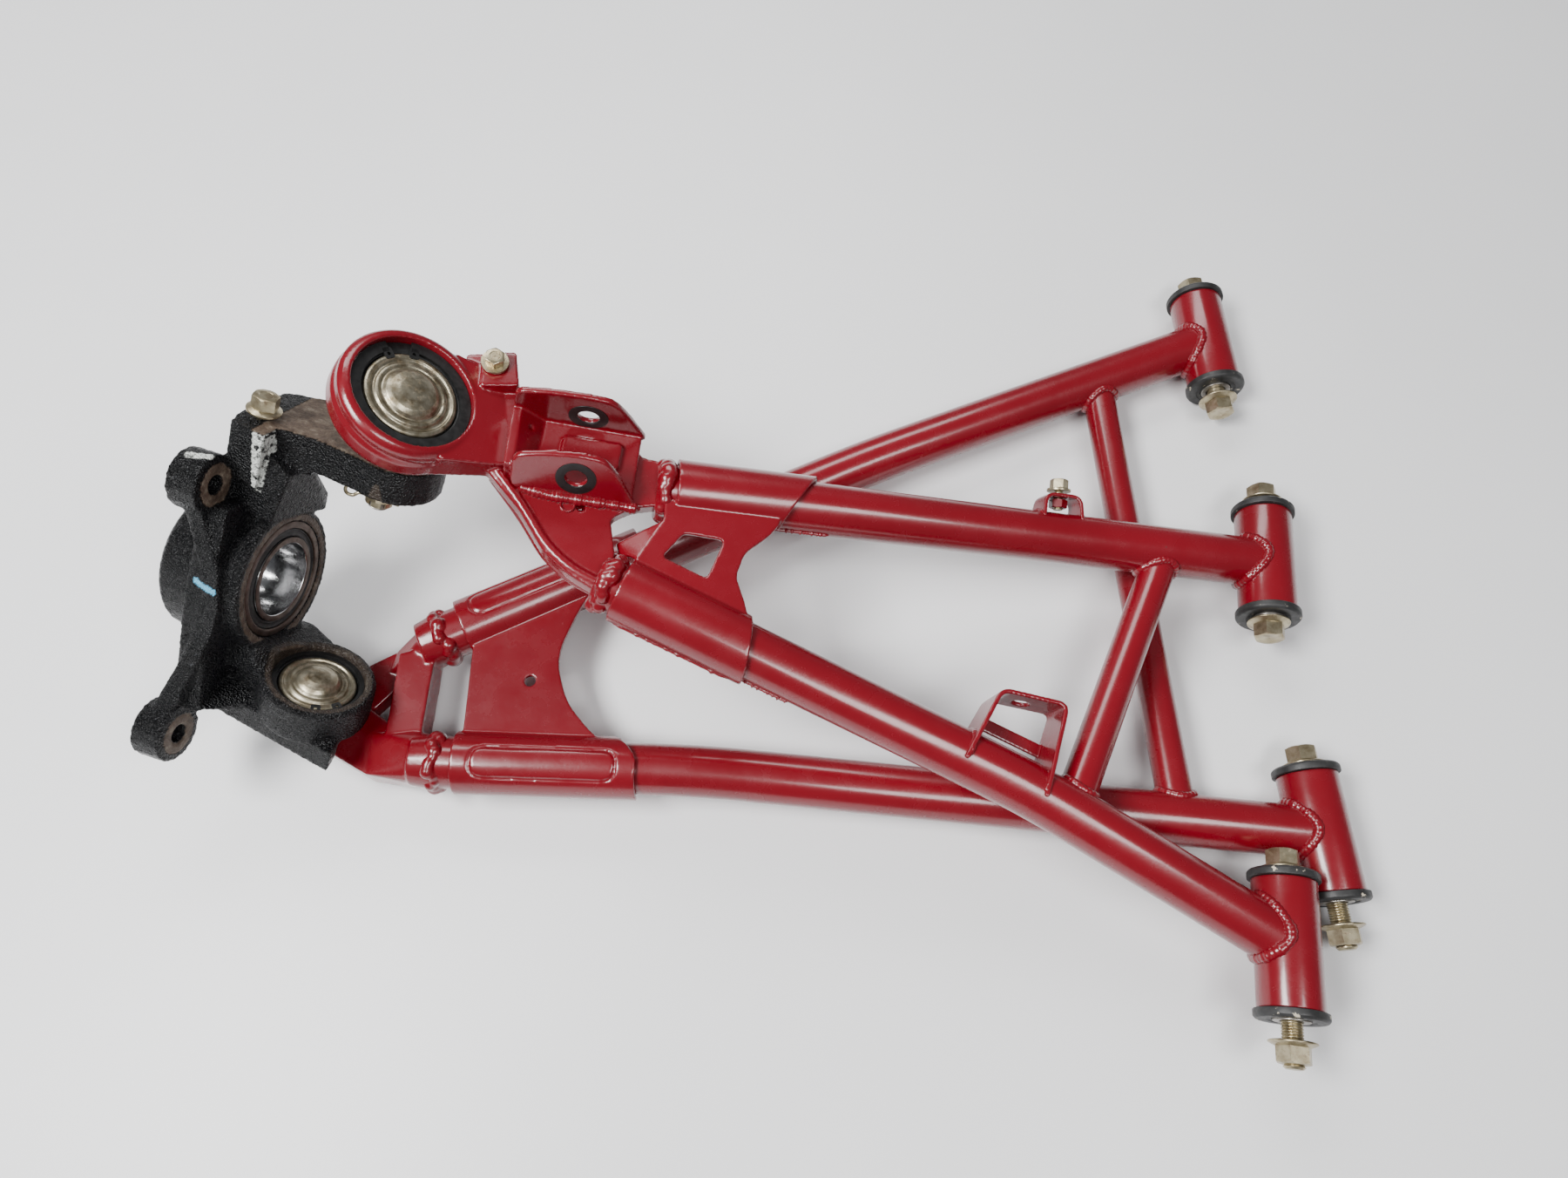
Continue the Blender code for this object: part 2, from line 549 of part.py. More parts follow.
def bracket_frame(path, along, lean):
    """Frame on a tube's centre line: Z out sideways, leaning up by `lean` degrees, X runs to the pivot."""
    leg = (path[1] - path[0]).normalized()
    side = leg.cross(Vector((0, 0, 1))).normalized()
    if side.y < 0:
        side = -side
    up = side.cross(leg)
    out = side * math.cos(math.radians(lean)) + up * math.sin(math.radians(lean))
    return frame(path[0] + leg * along, out, -leg)


def build_hose_brackets(clear):
    """Two hat-shaped brackets of bent strip, welded to the tubes, arching towards the rear."""
    quarter = Matrix.Rotation(math.radians(90), 4, "X")
    where = bracket_frame(UPPER_FRONT_PATH[1:], 0.0215, 0.0)
    hat = [(-0.0255, 0.0050), (-0.0205, 0.0430), (0.0205, 0.0520), (0.0250, 0.0050), (0.0222, 0.0050),
           (0.0180, 0.0488), (-0.0180, 0.0405), (-0.0228, 0.0050)]
    strap = [(-0.0230, 0.0220), (0.0215, 0.0220), (0.0205, 0.0300), (-0.0220, 0.0300)]
    body = join(prism(hat, -0.0120, 0.0150, where @ quarter), prism(strap, -0.0110, -0.0085, where @ quarter))
    hole = rod(0.0050, 0.03, 0.06, where @ Matrix.Translation((-0.003, 0.0, 0)), 12)
    piece("hose_bracket_large", keep_largest(cut(body, hole, *clear)), PAINT)
    where = bracket_frame(UPPER_REAR_PATH, 0.1477, 17.6)
    hat = [(-0.0145, 0.0060), (-0.0126, 0.0270), (0.0126, 0.0270), (0.0145, 0.0060), (0.0119, 0.0060),
           (0.0102, 0.0248), (-0.0102, 0.0248), (-0.0119, 0.0060)]
    hole = rod(0.0034, 0.0, 0.06, where, 12)
    body = cut(prism(hat, -0.0100, 0.0120, where @ quarter), hole, *clear)
    piece("hose_bracket_small", keep_largest(body), PAINT)
    hexa, collar = prism(hexagon(0.010), 0.0315, 0.0375, where), rod(0.0075, 0.0298, 0.0320, where, 16)
    piece("small_bracket_bolt", join(rod(0.0030, 0.0180, 0.0310, where, 12), collar, hexa), ZINC)
    nut = cut(prism(hexagon(0.010), 0.0195, 0.0245, where), rod(0.0033, 0.0, 0.06, where, 12))
    piece("small_bracket_nut", nut, ZINC)


# ---------------------------------------------------------------- ball joints
def build_ball_joint(name, ball, ring_axis, stud_axis, ball_r, can_r, cap_r, top, stud_length, nut_at):
    """Can with a domed cap above the ball, a stud below it, a boot and a castle nut."""
    where = frame(ball, ring_axis)
    low, rim = -0.0080, top - 0.0060
    room = ball_r + 0.0010
    cavity = [(0.0, room)]
    angles = [90 - i * 24.0 for i in range(1, 6)]
    hollow = [(room * math.cos(math.radians(a)), room * math.sin(math.radians(a)))
              for a in angles if room * math.sin(math.radians(a)) > low + 0.001]
    mouth = math.sqrt(room ** 2 - low ** 2)
    dome = [(cap_r, rim), (cap_r, rim + 0.0015), (cap_r * 0.80, rim + 0.0022), (cap_r * 0.76, rim + 0.0010),
            (cap_r * 0.60, rim + 0.0014), (cap_r * 0.50, rim + 0.0042), (cap_r * 0.28, rim + 0.0062),
            (0, rim + 0.0068)]
    wall = [(mouth, low), (can_r - 0.003, low), (can_r - GAP, low + 0.003), (can_r - GAP, rim)]
    outline = cavity + hollow + wall
    piece(name + "_joint_body", lathe(outline + dome, where, 24), ZINC, ball)
    clip = [(can_r - GAP, rim + GAP), (can_r - GAP, rim + 0.0018), (cap_r + 0.0020, rim + 0.0018),
            (cap_r + 0.0020, rim + GAP)]
    piece(name + "_circlip", lathe(clip, where, 24), STEEL, ball)

    down = frame(ball, -stud_axis)
    turn = [(0, -ball_r)]
    turn += [(ball_r * math.cos(math.radians(a)), ball_r * math.sin(math.radians(a))) for a in (-60, -30, 0, 30)]
    neck = 0.0068
    turn += [(neck, math.sqrt(ball_r ** 2 - neck ** 2)), (neck, 0.0220), (0.0080, 0.0240), (0.0075, nut_at - 0.002),
             (0.0060, nut_at - 0.001), (0.0060, stud_length), (0, stud_length)]
    piece(name + "_ball_stud", lathe(turn, down, 16), STEEL, ball)
    boot = [(neck + GAP, 0.0162), (0.0098, 0.0164), (0.0135, 0.0188), (0.0110, 0.0200), (0.0145, 0.0218),
            (neck + GAP, 0.0218)]
    piece(name + "_boot", lathe(boot, down, 16), RUBBER, ball)
    return down


def castle_nut(name, down, start, height, across, castle):
    body = join(prism(hexagon(across), start, start + height, down),
                rod(across * 0.42, start + height - 0.0005, start + height + castle, down, 18))
    slot = prism([(-0.03, -0.0017), (0.03, -0.0017), (0.03, 0.0017), (-0.03, 0.0017)], start + height - 0.0005,
                 start + height + castle + 0.01, down)
    body = cut(body, rod(0.0060 + GAP, 0, 0.2, down, 16), slot)
    piece(name, keep_largest(body), ZINC)


def build_joints():
    down = build_ball_joint("upper", UPPER_BALL, UPPER_RING_AXIS, UPPER_STUD_AXIS, 0.0150, RING_BORE_R, 0.0260,
                            UPPER_RING_TOP, 0.0660, 0.0500)
    castle_nut("upper_castle_nut", down, 0.0505, 0.0080, 0.0190, 0.0045)
    pin = down @ Matrix.Translation((0, 0, 0.0612))
    loop = [(0.0120, 0, 0), (-0.0135, 0, 0), (-0.0160, 0, 0.0034), (-0.0192, 0, 0.0026), (-0.0196, 0, -0.0012),
            (-0.0165, 0, -0.0030)]
    cotter = sweep([pin @ Vector(p) for p in loop], 0.0011, 0, 8)
    stud = PARTS.objects["upper_ball_stud"]
    bore_through(stud, sweep([pin @ Vector((x, 0, 0)) for x in (-0.02, 0.02)], 0.0015, 0, 8))
    piece("upper_cotter_pin", cotter, ZINC)
    down = build_ball_joint("lower", LOWER_BALL, LOWER_RING_AXIS, LOWER_STUD_AXIS, 0.0150, 0.0265, 0.0220,
                            0.0190, 0.0455, 0.0370)
    nut = cut(prism(hexagon(0.0190), 0.0380, 0.0440, down), rod(0.0060 + GAP, 0, 0.2, down, 16))
    piece("lower_stud_nut", nut, ZINC)


def bore_through(item, tool):
    """Drill a finished piece with a tool given in unshifted coordinates."""
    tool.transform(Matrix.Translation(SHIFT))
    tool.transform(Matrix.Translation(-item.location))
    drilled = tidy(cut(item.data.copy(), tool))
    drilled.name = item.name
    item.data = drilled


# ---------------------------------------------------------------- knuckle
def hub_point(w, k, n):
    return HUB + W * w + K * k + N * n


def hub_frame(w=0.0, k=0.0, n=0.0):
    """Frame on the wheel axis: Z outboard, X along the steering axis."""
    return frame(hub_point(w, k, n), W, K)


def hub_box(w0, w1, k0, k1, n0, n1):
    return [hub_point(w, k, n) for w in (w0, w1) for k in (k0, k1) for n in (n0, n1)]


def slab_frame():
    return frame(UPPER_BALL, UPPER_STUD_AXIS, W)


def boss_frame():
    return frame(LOWER_BALL, LOWER_RING_AXIS, W)


def build_knuckle():
    hub = hub_frame()
    barrel = lathe([(0, 0), (HUB_R + 0.001, 0), (HUB_R + 0.002, 0.006), (HUB_R, 0.012), (HUB_R, HUB_LENGTH - 0.003),
                    (HUB_R - 0.003, HUB_LENGTH), (0, HUB_LENGTH)], hub, 28)
    # plate behind the hub that ties the necks together
    body = hull(hub_box(0.004, 0.024, -0.052, 0.056, -0.030, 0.026))
    slab = frame_slab()
    boss = lathe([(0, -0.008), (0.030, -0.008), (0.033, -0.005), (0.033, 0.017), (0.031, 0.0190),
                  (0, 0.0190)],
                 boss_frame(), 24)
    upper_neck = hull(hub_box(-0.002, 0.024, 0.040, 0.050, -0.030, 0.026)
                      + [slab_frame() @ Vector(p) for p in ((0.068, 0.012, -0.028), (0.068, 0.040, -0.028),
                                                            (0.036, 0.016, -0.049), (0.036, 0.038, -0.049),
                                                            (0.068, 0.012, -0.049), (0.068, 0.040, -0.049))])
    corners = ((0.050, 0.010), (0.050, 0.046), (0.070, 0.046), (0.075, 0.018))
    clamp = hull([slab_frame() @ Vector((x, y, z)) for x, y in corners for z in (-0.060, -0.0255)])
    lower_neck = hull(hub_box(-0.004, 0.022, -0.046, -0.036, -0.034, 0.026)
                      + [boss_frame() @ Vector(p) for p in ((0.026, -0.022, -0.006), (0.026, 0.016, -0.006),
                                                            (0.026, -0.022, 0.016), (0.026, 0.016, 0.016),
                                                            (-0.006, -0.030, 0.012), (-0.006, -0.030, -0.006))])
    corners = ((0.044, 0.026), (0.040, 0.012), (-0.028, 0.016), (-0.031, 0.030))
    bar = hull([boss_frame() @ Vector((x, y, z)) for x, y in corners for z in (-0.018, -0.002)])
    ears = [rod(0.0175, 0.0, 0.0180, hub_frame(0.0220, 0.0580, 0.0440), 14),
            rod(0.0175, 0.0, 0.0180, hub_frame(0.0220, -0.0925, 0.0460), 14)]
    solid_body = join(barrel, body, upper_neck, slab, clamp, lower_neck, boss, bar, *caliper_web(), *ears)
    holes = [rod(BEARING_R + GAP, -0.01, 0.0380, hub, 28), rod(0.0290, 0.02, 0.08, hub, 20),
             rod(0.0265, -0.0200, 0.05, boss_frame(), 24),
             rod(0.0083, -0.1, 0.0, slab_frame(), 14),
             rod(0.0047, -0.0600, 0.0, frame(slab_frame() @ Vector((0.063, 0.028, 0)), UPPER_STUD_AXIS), 12),
             rod(0.0055, -0.03, 0.06, hub_frame(0.0220, 0.0580, 0.0440), 10),
             rod(0.0055, -0.03, 0.06, hub_frame(0.0220, -0.0925, 0.0460), 10)]
    piece("knuckle", keep_largest(cut(solid_body, *holes)), CAST, HUB)
    where = frame(slab_frame() @ Vector((0.063, 0.028, 0)), UPPER_STUD_AXIS)
    bolt = join(rod(0.0043, -0.0590, -0.0180, where, 12), rod(0.0095, -0.0225, -0.0200, where, 18),
                prism(hexagon(0.0130), -0.0205, -0.0125, where))
    piece("clamp_bolt", bolt, ZINC)


def frame_slab():
    outline = [(0.070, -0.004), (0.074, 0.014), (0.072, 0.040), (0.052, 0.034), (0.030, 0.027)]
    outline += arc(-0.003, -0.003, 0.0290, 78, 282, 12) + [(0.040, -0.024)]
    return prism(outline, -0.0495, -0.0250, slab_frame())


def caliper_web():
    """Curved rib between the two caliper ears, one straight leg at a time."""
    line = [(0.034, 0.060, 0.056), (0.027, 0.037, 0.050), (0.015, 0.012, 0.050), (0.012, -0.010, 0.050),
            (0.014, -0.026, 0.050), (0.021, -0.052, 0.052), (0.035, -0.094, 0.058)]
    half, legs = 0.0055, []
    for (w0, k0, top0), (w1, k1, top1) in zip(line, line[1:]):
        foot = 0.010 if max(abs(k0), abs(k1)) < 0.04 else 0.028
        ends = ((w0, k0 + 0.0004, top0), (w1, k1 - 0.0004, top1))
        legs.append(hull([hub_point(w + side, k, n) for w, k, top in ends for side in (-half, half)
                          for n in (foot, top)]))
    return legs


def build_bearing():
    hub = hub_frame()
    race = BEARING_R
    outer = [(0.0315, 0.0010), (race, 0.0010), (race, 0.0350), (0.0315, 0.0350), (0.0305, 0.0180)]
    piece("bearing_outer_ring", lathe(outer, hub, 28), RUST, HUB)
    inner = [(BEARING_BORE_R, 0.0004), (0.0262, 0.0004), (0.0262, 0.0160), (0.0258, 0.0180), (0.0262, 0.0200),
             (0.0262, 0.0350), (BEARING_BORE_R, 0.0350)]
    piece("bearing_inner_ring", lathe(inner, hub, 28), STEEL, HUB)
    cage = [(0.0268, 0.0080), (0.0301, 0.0080), (0.0301, 0.0280), (0.0268, 0.0280)]
    piece("bearing_cage_and_balls", lathe(cage, hub, 24), STEEL, HUB)
    seal = [(0.0266, 0.0014), (0.0311, 0.0014), (0.0311, 0.0040), (0.0266, 0.0040)]
    piece("bearing_seal", lathe(seal, hub, 24), RUBBER, HUB)


def main():
    clear_scene()
    global PARTS
    PARTS = bpy.data.collections.new("suspension_corner")
    bpy.context.scene.collection.children.link(PARTS)
    for name, settings in PIVOTS.items():
        build_pivot(name, *settings)
    build_lower_arm()
    build_upper_arm()
    build_joints()
    build_knuckle()
    build_bearing()
    bpy.context.view_layer.update()


main()
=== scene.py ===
"""Looks of a suspension corner: glossy red tubular arms, a black cast knuckle and worn plated fasteners.

Metres, +Z up. Every piece rides on the CAD body it belongs to, and stands in for its plainer CAD node.
"""
import json
import math
import random

import bmesh
import bpy
from mathutils import Matrix, Vector, noise


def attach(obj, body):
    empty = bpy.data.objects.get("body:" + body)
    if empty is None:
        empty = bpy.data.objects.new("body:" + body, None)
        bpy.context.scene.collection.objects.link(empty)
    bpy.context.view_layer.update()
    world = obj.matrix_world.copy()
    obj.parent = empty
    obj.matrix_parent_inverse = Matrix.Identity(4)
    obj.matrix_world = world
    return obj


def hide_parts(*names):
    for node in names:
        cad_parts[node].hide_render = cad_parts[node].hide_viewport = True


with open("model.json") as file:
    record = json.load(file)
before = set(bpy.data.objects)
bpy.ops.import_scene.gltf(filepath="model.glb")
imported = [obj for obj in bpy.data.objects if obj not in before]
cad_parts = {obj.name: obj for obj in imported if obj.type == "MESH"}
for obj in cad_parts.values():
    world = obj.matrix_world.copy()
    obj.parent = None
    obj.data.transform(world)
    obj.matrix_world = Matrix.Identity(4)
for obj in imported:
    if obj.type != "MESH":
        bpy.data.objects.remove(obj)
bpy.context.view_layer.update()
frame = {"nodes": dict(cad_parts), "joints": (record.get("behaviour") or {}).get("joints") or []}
JOINTS = {joint["name"]: joint for joint in frame["joints"]}

# ---------------------------------------------------------------- driving dimensions
DATUM = Vector((0.0140, -0.2750, 0.0))       # arm points below are measured from this datum
TUBE_R, TUBE_BORE = 0.0159, 0.0129
CROSS_R, CROSS_BORE = 0.0110, 0.0085
PIVOT_R, PIVOT_BORE, PIVOT_HALF = 0.0180, 0.0150, 0.0355
LIP_R, LIP_THICK, SLEEVE_R, SLEEVE_BORE = 0.0200, 0.0050, 0.0100, 0.0065
BOLT_R, HEX_FLATS, FLANGE_R, FLANGE_T, HEX_H = 0.0060, 0.0170, 0.0130, 0.0022, 0.0095
THREAD_PITCH = 0.0015
SHEET, GAP, BITE = 0.0030, 0.0003, 0.0002    # a coped tube end bites this far into its neighbour
ON_AXIS = 1e-6                               # a turned outline closes on its axis below this radius

# each pivot: gap between flange and bushing at the front end, at the rear end, and the bolt head's end
PIVOTS = {
    "lower_rear": (0.0070, 0.0006, "front"),
    "lower_front": (0.0120, 0.0006, "rear"),
    "upper_rear": (0.0012, 0.0045, "front"),
    "upper_front": (0.0100, 0.0006, "rear"),
}


def spot(x, y, z):
    return Vector((x, y, z)) + DATUM


def joint_place(name):
    return Vector(JOINTS[name]["pos_m"]), Vector(JOINTS[name]["axis"]).normalized()


PIVOT_PLACE = {name: joint_place(name + "_sleeve_turn") for name in PIVOTS}
LOWER_REAR_PATH = [PIVOT_PLACE["lower_rear"][0], spot(0.060, 0.390, 0.024), spot(-0.216, 0.259, 0.028)]
LOWER_FRONT_PATH = [PIVOT_PLACE["lower_front"][0], spot(-0.050, 0.172, 0.026), spot(-0.211, 0.177, 0.028)]
UPPER_REAR_PATH = [PIVOT_PLACE["upper_rear"][0], spot(-0.070, 0.3170, 0.1168)]
UPPER_FRONT_PATH = [PIVOT_PLACE["upper_front"][0], spot(0.1420, 0.1500, 0.0680),
                    spot(-0.0990, 0.2550, 0.1220)]
LOWER_CROSS = [spot(0.2235, 0.457, 0.0205), spot(0.2395, 0.144, 0.0205)]
UPPER_CROSS = [spot(0.2420, 0.3060, 0.0470), spot(0.1680, 0.1490, 0.0610)]
LOWER_REAR_LEG, LOWER_FRONT_LEG, UPPER_REAR_LEG, UPPER_FRONT_LEG = [
    (path[-1] - path[-2]).normalized()
    for path in (LOWER_REAR_PATH, LOWER_FRONT_PATH, UPPER_REAR_PATH, UPPER_FRONT_PATH)]

UPPER_BALL, LOWER_BALL = joint_place("upper_ball_turn")[0], joint_place("lower_ball_turn")[0]
HUB, WHEEL_AXIS = joint_place("wheel_bearing_spin")
STEER = UPPER_BALL - LOWER_BALL
STEER = (STEER - WHEEL_AXIS * STEER.dot(WHEEL_AXIS)).normalized()
SIDE = STEER.cross(WHEEL_AXIS)
UPPER_STUD_AXIS = Vector((0.373, 0.513, 0.773)).normalized()
UPPER_RING_AXIS = Vector((0.590, 0.050, 0.805)).normalized()
LOWER_RING_AXIS = Vector((0.385, 0.469, 0.791)).normalized()
LOWER_STUD_AXIS = Vector((0.060, 0.080, 0.995)).normalized()
RING_TOP, RING_R, RING_BORE, RING_HEIGHT = 0.0225, 0.0412, 0.0340, 0.0240
HEAD_UP = Vector((0.225, -0.0076, 1.0)).normalized()


# ---------------------------------------------------------------- shapes
def place(origin, z_axis, x_hint=(1, 0, 0)):
    z = Vector(z_axis).normalized()
    x = Vector(x_hint)
    x = x - z * x.dot(z)
    if x.length < 1e-6:
        x = Vector((0, 1, 0)) - z * z.y
    x.normalize()
    return Matrix.Translation(origin) @ Matrix((x, z.cross(x), z)).transposed().to_4x4()


def solid(verts, faces, where=None):
    shape = bmesh.new()
    made = [shape.verts.new((where @ Vector(v)) if where else v) for v in verts]
    for face in faces:
        shape.faces.new([made[i] for i in face])
    bmesh.ops.recalc_face_normals(shape, faces=shape.faces)
    return shape


def arc(cx, cy, radius, start, end, steps):
    angles = [math.radians(start + (end - start) * i / steps) for i in range(steps + 1)]
    return [(cx + radius * math.cos(a), cy + radius * math.sin(a)) for a in angles]


def fillet(points, radius, steps=4, closed=True, keep=lambda corner: False):
    """Round the corners of an outline; the two ends of an open one stay, and so do corners `keep` picks."""
    points = [Vector(p) for p in points]
    count, made = len(points), []
    for i, corner in enumerate(points):
        if keep(corner) or not closed and i in (0, count - 1):
            made.append(corner)
            continue
        before, after = points[i - 1] - corner, points[(i + 1) % count] - corner
        size = min(radius, before.length * 0.45, after.length * 0.45)
        start, end = corner + before.normalized() * size, corner + after.normalized() * size
        for k in range(steps + 1):
            t = k / steps
            made.append(start * (1 - t) ** 2 + corner * (2 * t * (1 - t)) + end * t ** 2)
    return made


def lathe(profile, where, steps=56, soft=0.0):
    """Turn a closed (radius, height) outline about the Z of `where`, its corners rounded by `soft`."""
    outline = fillet(profile, soft, 3, keep=lambda corner: corner.x < ON_AXIS) if soft else profile
    verts, rows = [], []
    for radius, height in outline:
        if radius < ON_AXIS:
            rows.append([len(verts)] * steps)
            verts.append((0, 0, height))
        else:
            rows.append(list(range(len(verts), len(verts) + steps)))
            turn = 2 * math.pi / steps
            verts += [(radius * math.cos(turn * i), radius * math.sin(turn * i),
                       height) for i in range(steps)]
    faces = []
    for a, b in zip(rows, rows[1:] + rows[:1]):
        if a[0] == a[1] and b[0] == b[1]:
            continue
        for i in range(steps):
            j = (i + 1) % steps
            ring = [a[i], a[j], b[j], b[i]]
            faces.append([v for n, v in enumerate(ring) if v != ring[n - 1]])
    return solid(verts, faces, where)


def rod(radius, bottom, top, where, steps=40, soft=0.0):
    return lathe([(0, bottom), (radius, bottom), (radius, top), (0, top)], where, steps, soft)


def bridge(lower, upper, where=None):
    """A closed solid between two loops of the same count."""
    count = len(lower)
    faces = [list(range(count))[::-1], list(range(count, 2 * count))]
    faces += [[i, (i + 1) % count, count + (i + 1) % count, count + i] for i in range(count)]
    return solid(lower + upper, faces, where)


def prism(outline, bottom, top, where=None, lift=None):
    """Extrude an outline; `lift` turns (x, y, height) into a point where there is no plain frame."""
    put = lift or (lambda x, y, z: Vector((x, y, z)))
    lower, upper = [[put(*tuple(p)[:2], height) for p in outline] for height in (bottom, top)]
    return bridge(lower, upper, where)


def washer(inner, outer, bottom, top):
    """Outline of a plain ring, for lathe."""
    return [(inner, bottom), (outer, bottom), (outer, top), (inner, top)]


def rectangle(left, right, low, high):
    return [(left, low), (right, low), (right, high), (left, high)]


def hull(points):
    shape = bmesh.new()
    for point in points:
        shape.verts.new(point)
    made = bmesh.ops.convex_hull(shape, input=shape.verts)
    loose = [g for g in made["geom_interior"] + made["geom_unused"] if isinstance(g, bmesh.types.BMVert)]
    bmesh.ops.delete(shape, geom=list(set(loose)), context="VERTS")
    bmesh.ops.recalc_face_normals(shape, faces=shape.faces)
    return shape


def hex_head(flats, bottom, top, where, bore=0.0, both_ends=False):
    """A hexagonal head whose corners are chamfered by a cone, as forged heads are."""
    steps, half = 72, flats / 2
    cone, slope, inner, dimple = half * 0.95, 0.55, bore or 0.0003, 0.0 if bore else 0.0003
    # every row: a radius, or None for the hexagon itself; a height; and which way the cone cuts its corners
    rows = [(inner, bottom, 0)]
    rows += [(cone, bottom, 0), (None, bottom, 1)] if both_ends else [(None, bottom, 0)]
    rows += [(None, top, -1), (cone, top, 0)]
    if not bore:
        rows += [(half * 0.62, top, 0), (half * 0.55, top - dimple, 0)]
    rows.append((inner, top - dimple, 0))
    verts, faces = [], []
    for radius, height, side in rows:
        for i in range(steps):
            angle = 2 * math.pi * i / steps
            flat = half / math.cos((angle + math.pi / 6) % (math.pi / 3) - math.pi / 6)
            reach = radius or flat
            verts.append((reach * math.cos(angle), reach * math.sin(angle),
                          height + side * (flat - cone) * slope))
    for row in range(len(rows)):
        a, b = row * steps, (row + 1) % len(rows) * steps
        faces += [[a + i, a + (i + 1) % steps, b + (i + 1) % steps, b + i] for i in range(steps)]
    return solid(verts, faces, where)


def resample(points, spacing, closed):
    points = [Vector(p) for p in points]
    if closed:
        points = points + [points[0]]
    lengths = [0.0]
    for a, b in zip(points, points[1:]):
        lengths.append(lengths[-1] + (b - a).length)
    count = max(8, int(lengths[-1] / spacing))
    made, leg = [], 0
    for k in range(count + (0 if closed else 1)):
        goal = lengths[-1] * k / count
        while leg < len(points) - 2 and lengths[leg + 1] < goal:
            leg += 1
        span = lengths[leg + 1] - lengths[leg]
        made.append(points[leg].lerp(points[leg + 1], (goal - lengths[leg]) / span if span > 1e-9 else 0.0))
    return made


def sweep(points, hint, closed=False):
    """Direction and two cross directions at every point of a path, without twist."""
    count, made = len(points), []
    for i in range(count):
        ahead = points[(i + 1) % count] if closed or i < count - 1 else points[i]
        behind = points[i - 1] if closed or i > 0 else points[i]
        along = (ahead - behind).normalized()
        side = made[-1][1] if made else place(points[0], along, hint).to_3x3().col[0].copy()
        side = (side - along * side.dot(along)).normalized()
        made.append((along, side, along.cross(side)))
    return made


def ring_at(point, side, up, radius, steps):
    angles = [2 * math.pi * k / steps for k in range(steps)]
    return [point + (side * math.cos(a) + up * math.sin(a)) * radius for a in angles]


def strand(points, radius, steps=14, closed=False):
    """A round strand along points; `radius` is a length or a function of (index, count)."""
    count, verts, faces = len(points), [], []
    for i, (_, side, up) in enumerate(sweep(points, (0.2, 0.3, 1), closed)):
        verts += ring_at(points[i], side, up, radius(i, count) if callable(radius) else radius, steps)
    twist = 0
    if closed:  # line the last ring up with the first
        twist = min(range(steps), key=lambda s: (verts[(count - 1) * steps + s] - verts[0]).length)
    for i in range(count if closed else count - 1):
        j = (i + 1) % count
        turn = -twist if closed and j == 0 else 0
        for k in range(steps):
            a, b = i * steps + k, i * steps + (k + 1) % steps
            c, d = j * steps + (k + 1 + turn) % steps, j * steps + (k + turn) % steps
            faces.append([a, b, c, d])
    if not closed:
        faces += [list(range(steps))[::-1], [(count - 1) * steps + k for k in range(steps)]]
    return solid(verts, faces)


def cord(points, spacing, radius, steps):
    """An open strand along a line of uneven points."""
    return strand(resample(points, spacing, False), radius, steps)


def tube(path, radius, bore, steps=64, bend=0.030, start=None, end=None):
    """A hollow tube on a path with a rounded bend. start and end cope it round (point, axis, radius)."""
    if len(path) > 2:
        line = fillet(path, bend, 10, closed=False)
    else:
        line = [path[0].lerp(path[1], t / 8) for t in range(9)]
    count, verts, outer_rings, faces = len(line), [], [], []
    for i, (along, side, up) in enumerate(sweep(line, (0, 0, 1))):
        for wall in (radius, bore):
            ring = ring_at(line[i], side, up, wall, steps)
            if i == 0 and start:
                ring = [cope(p, along, *start) for p in ring]
            if i == count - 1 and end:
                ring = [cope(p, -along, *end) for p in ring]
            if wall == radius:
                outer_rings.append(ring)
            verts += ring
    for i in range(count - 1):
        for layer in (0, 1):
            for k in range(steps):
                a, b = (2 * i + layer) * steps + k, (2 * i + layer) * steps + (k + 1) % steps
                faces.append([a, b, b + 2 * steps, a + 2 * steps])
    for i in (0, count - 1):
        outer, inner = 2 * i * steps, (2 * i + 1) * steps
        faces += [[outer + k, outer + (k + 1) % steps, inner + (k + 1) % steps,
                   inner + k] for k in range(steps)]
    return solid(verts, faces), outer_rings[0], outer_rings[-1]


def cope(point, direction, centre, axis, radius):
    """Slide a point along direction until it leaves the cylinder (centre, axis, radius)."""
    offset = point - centre
    a = direction - axis * direction.dot(axis)
    b = offset - axis * offset.dot(axis)
    qa, qb, qc = a.dot(a), 2 * a.dot(b), b.dot(b) - radius ** 2
    inside = max(qb * qb - 4 * qa * qc, 0.0)
    return point + direction * ((-qb + math.sqrt(inside)) / (2 * qa))


# ---------------------------------------------------------------- objects
def to_mesh(shape, name):
    mesh = bpy.data.meshes.new(name)
    shape.to_mesh(mesh)
    shape.free()
    return mesh


def evaluated(item):
    bpy.context.view_layer.update()
    graph = bpy.context.evaluated_depsgraph_get()
    made = bpy.data.meshes.new_from_object(item.evaluated_get(graph))
    bpy.data.objects.remove(item, do_unlink=True)
    return made


def loose_object(mesh):
    item = bpy.data.objects.new("working", mesh)
    bpy.context.scene.collection.objects.link(item)
    return item


def merge(shapes, name="merged"):
    whole = bmesh.new()
    for shape in shapes:
        mesh = shape if isinstance(shape, bpy.types.Mesh) else to_mesh(shape, "part")
        whole.from_mesh(mesh)
    return to_mesh(whole, name)


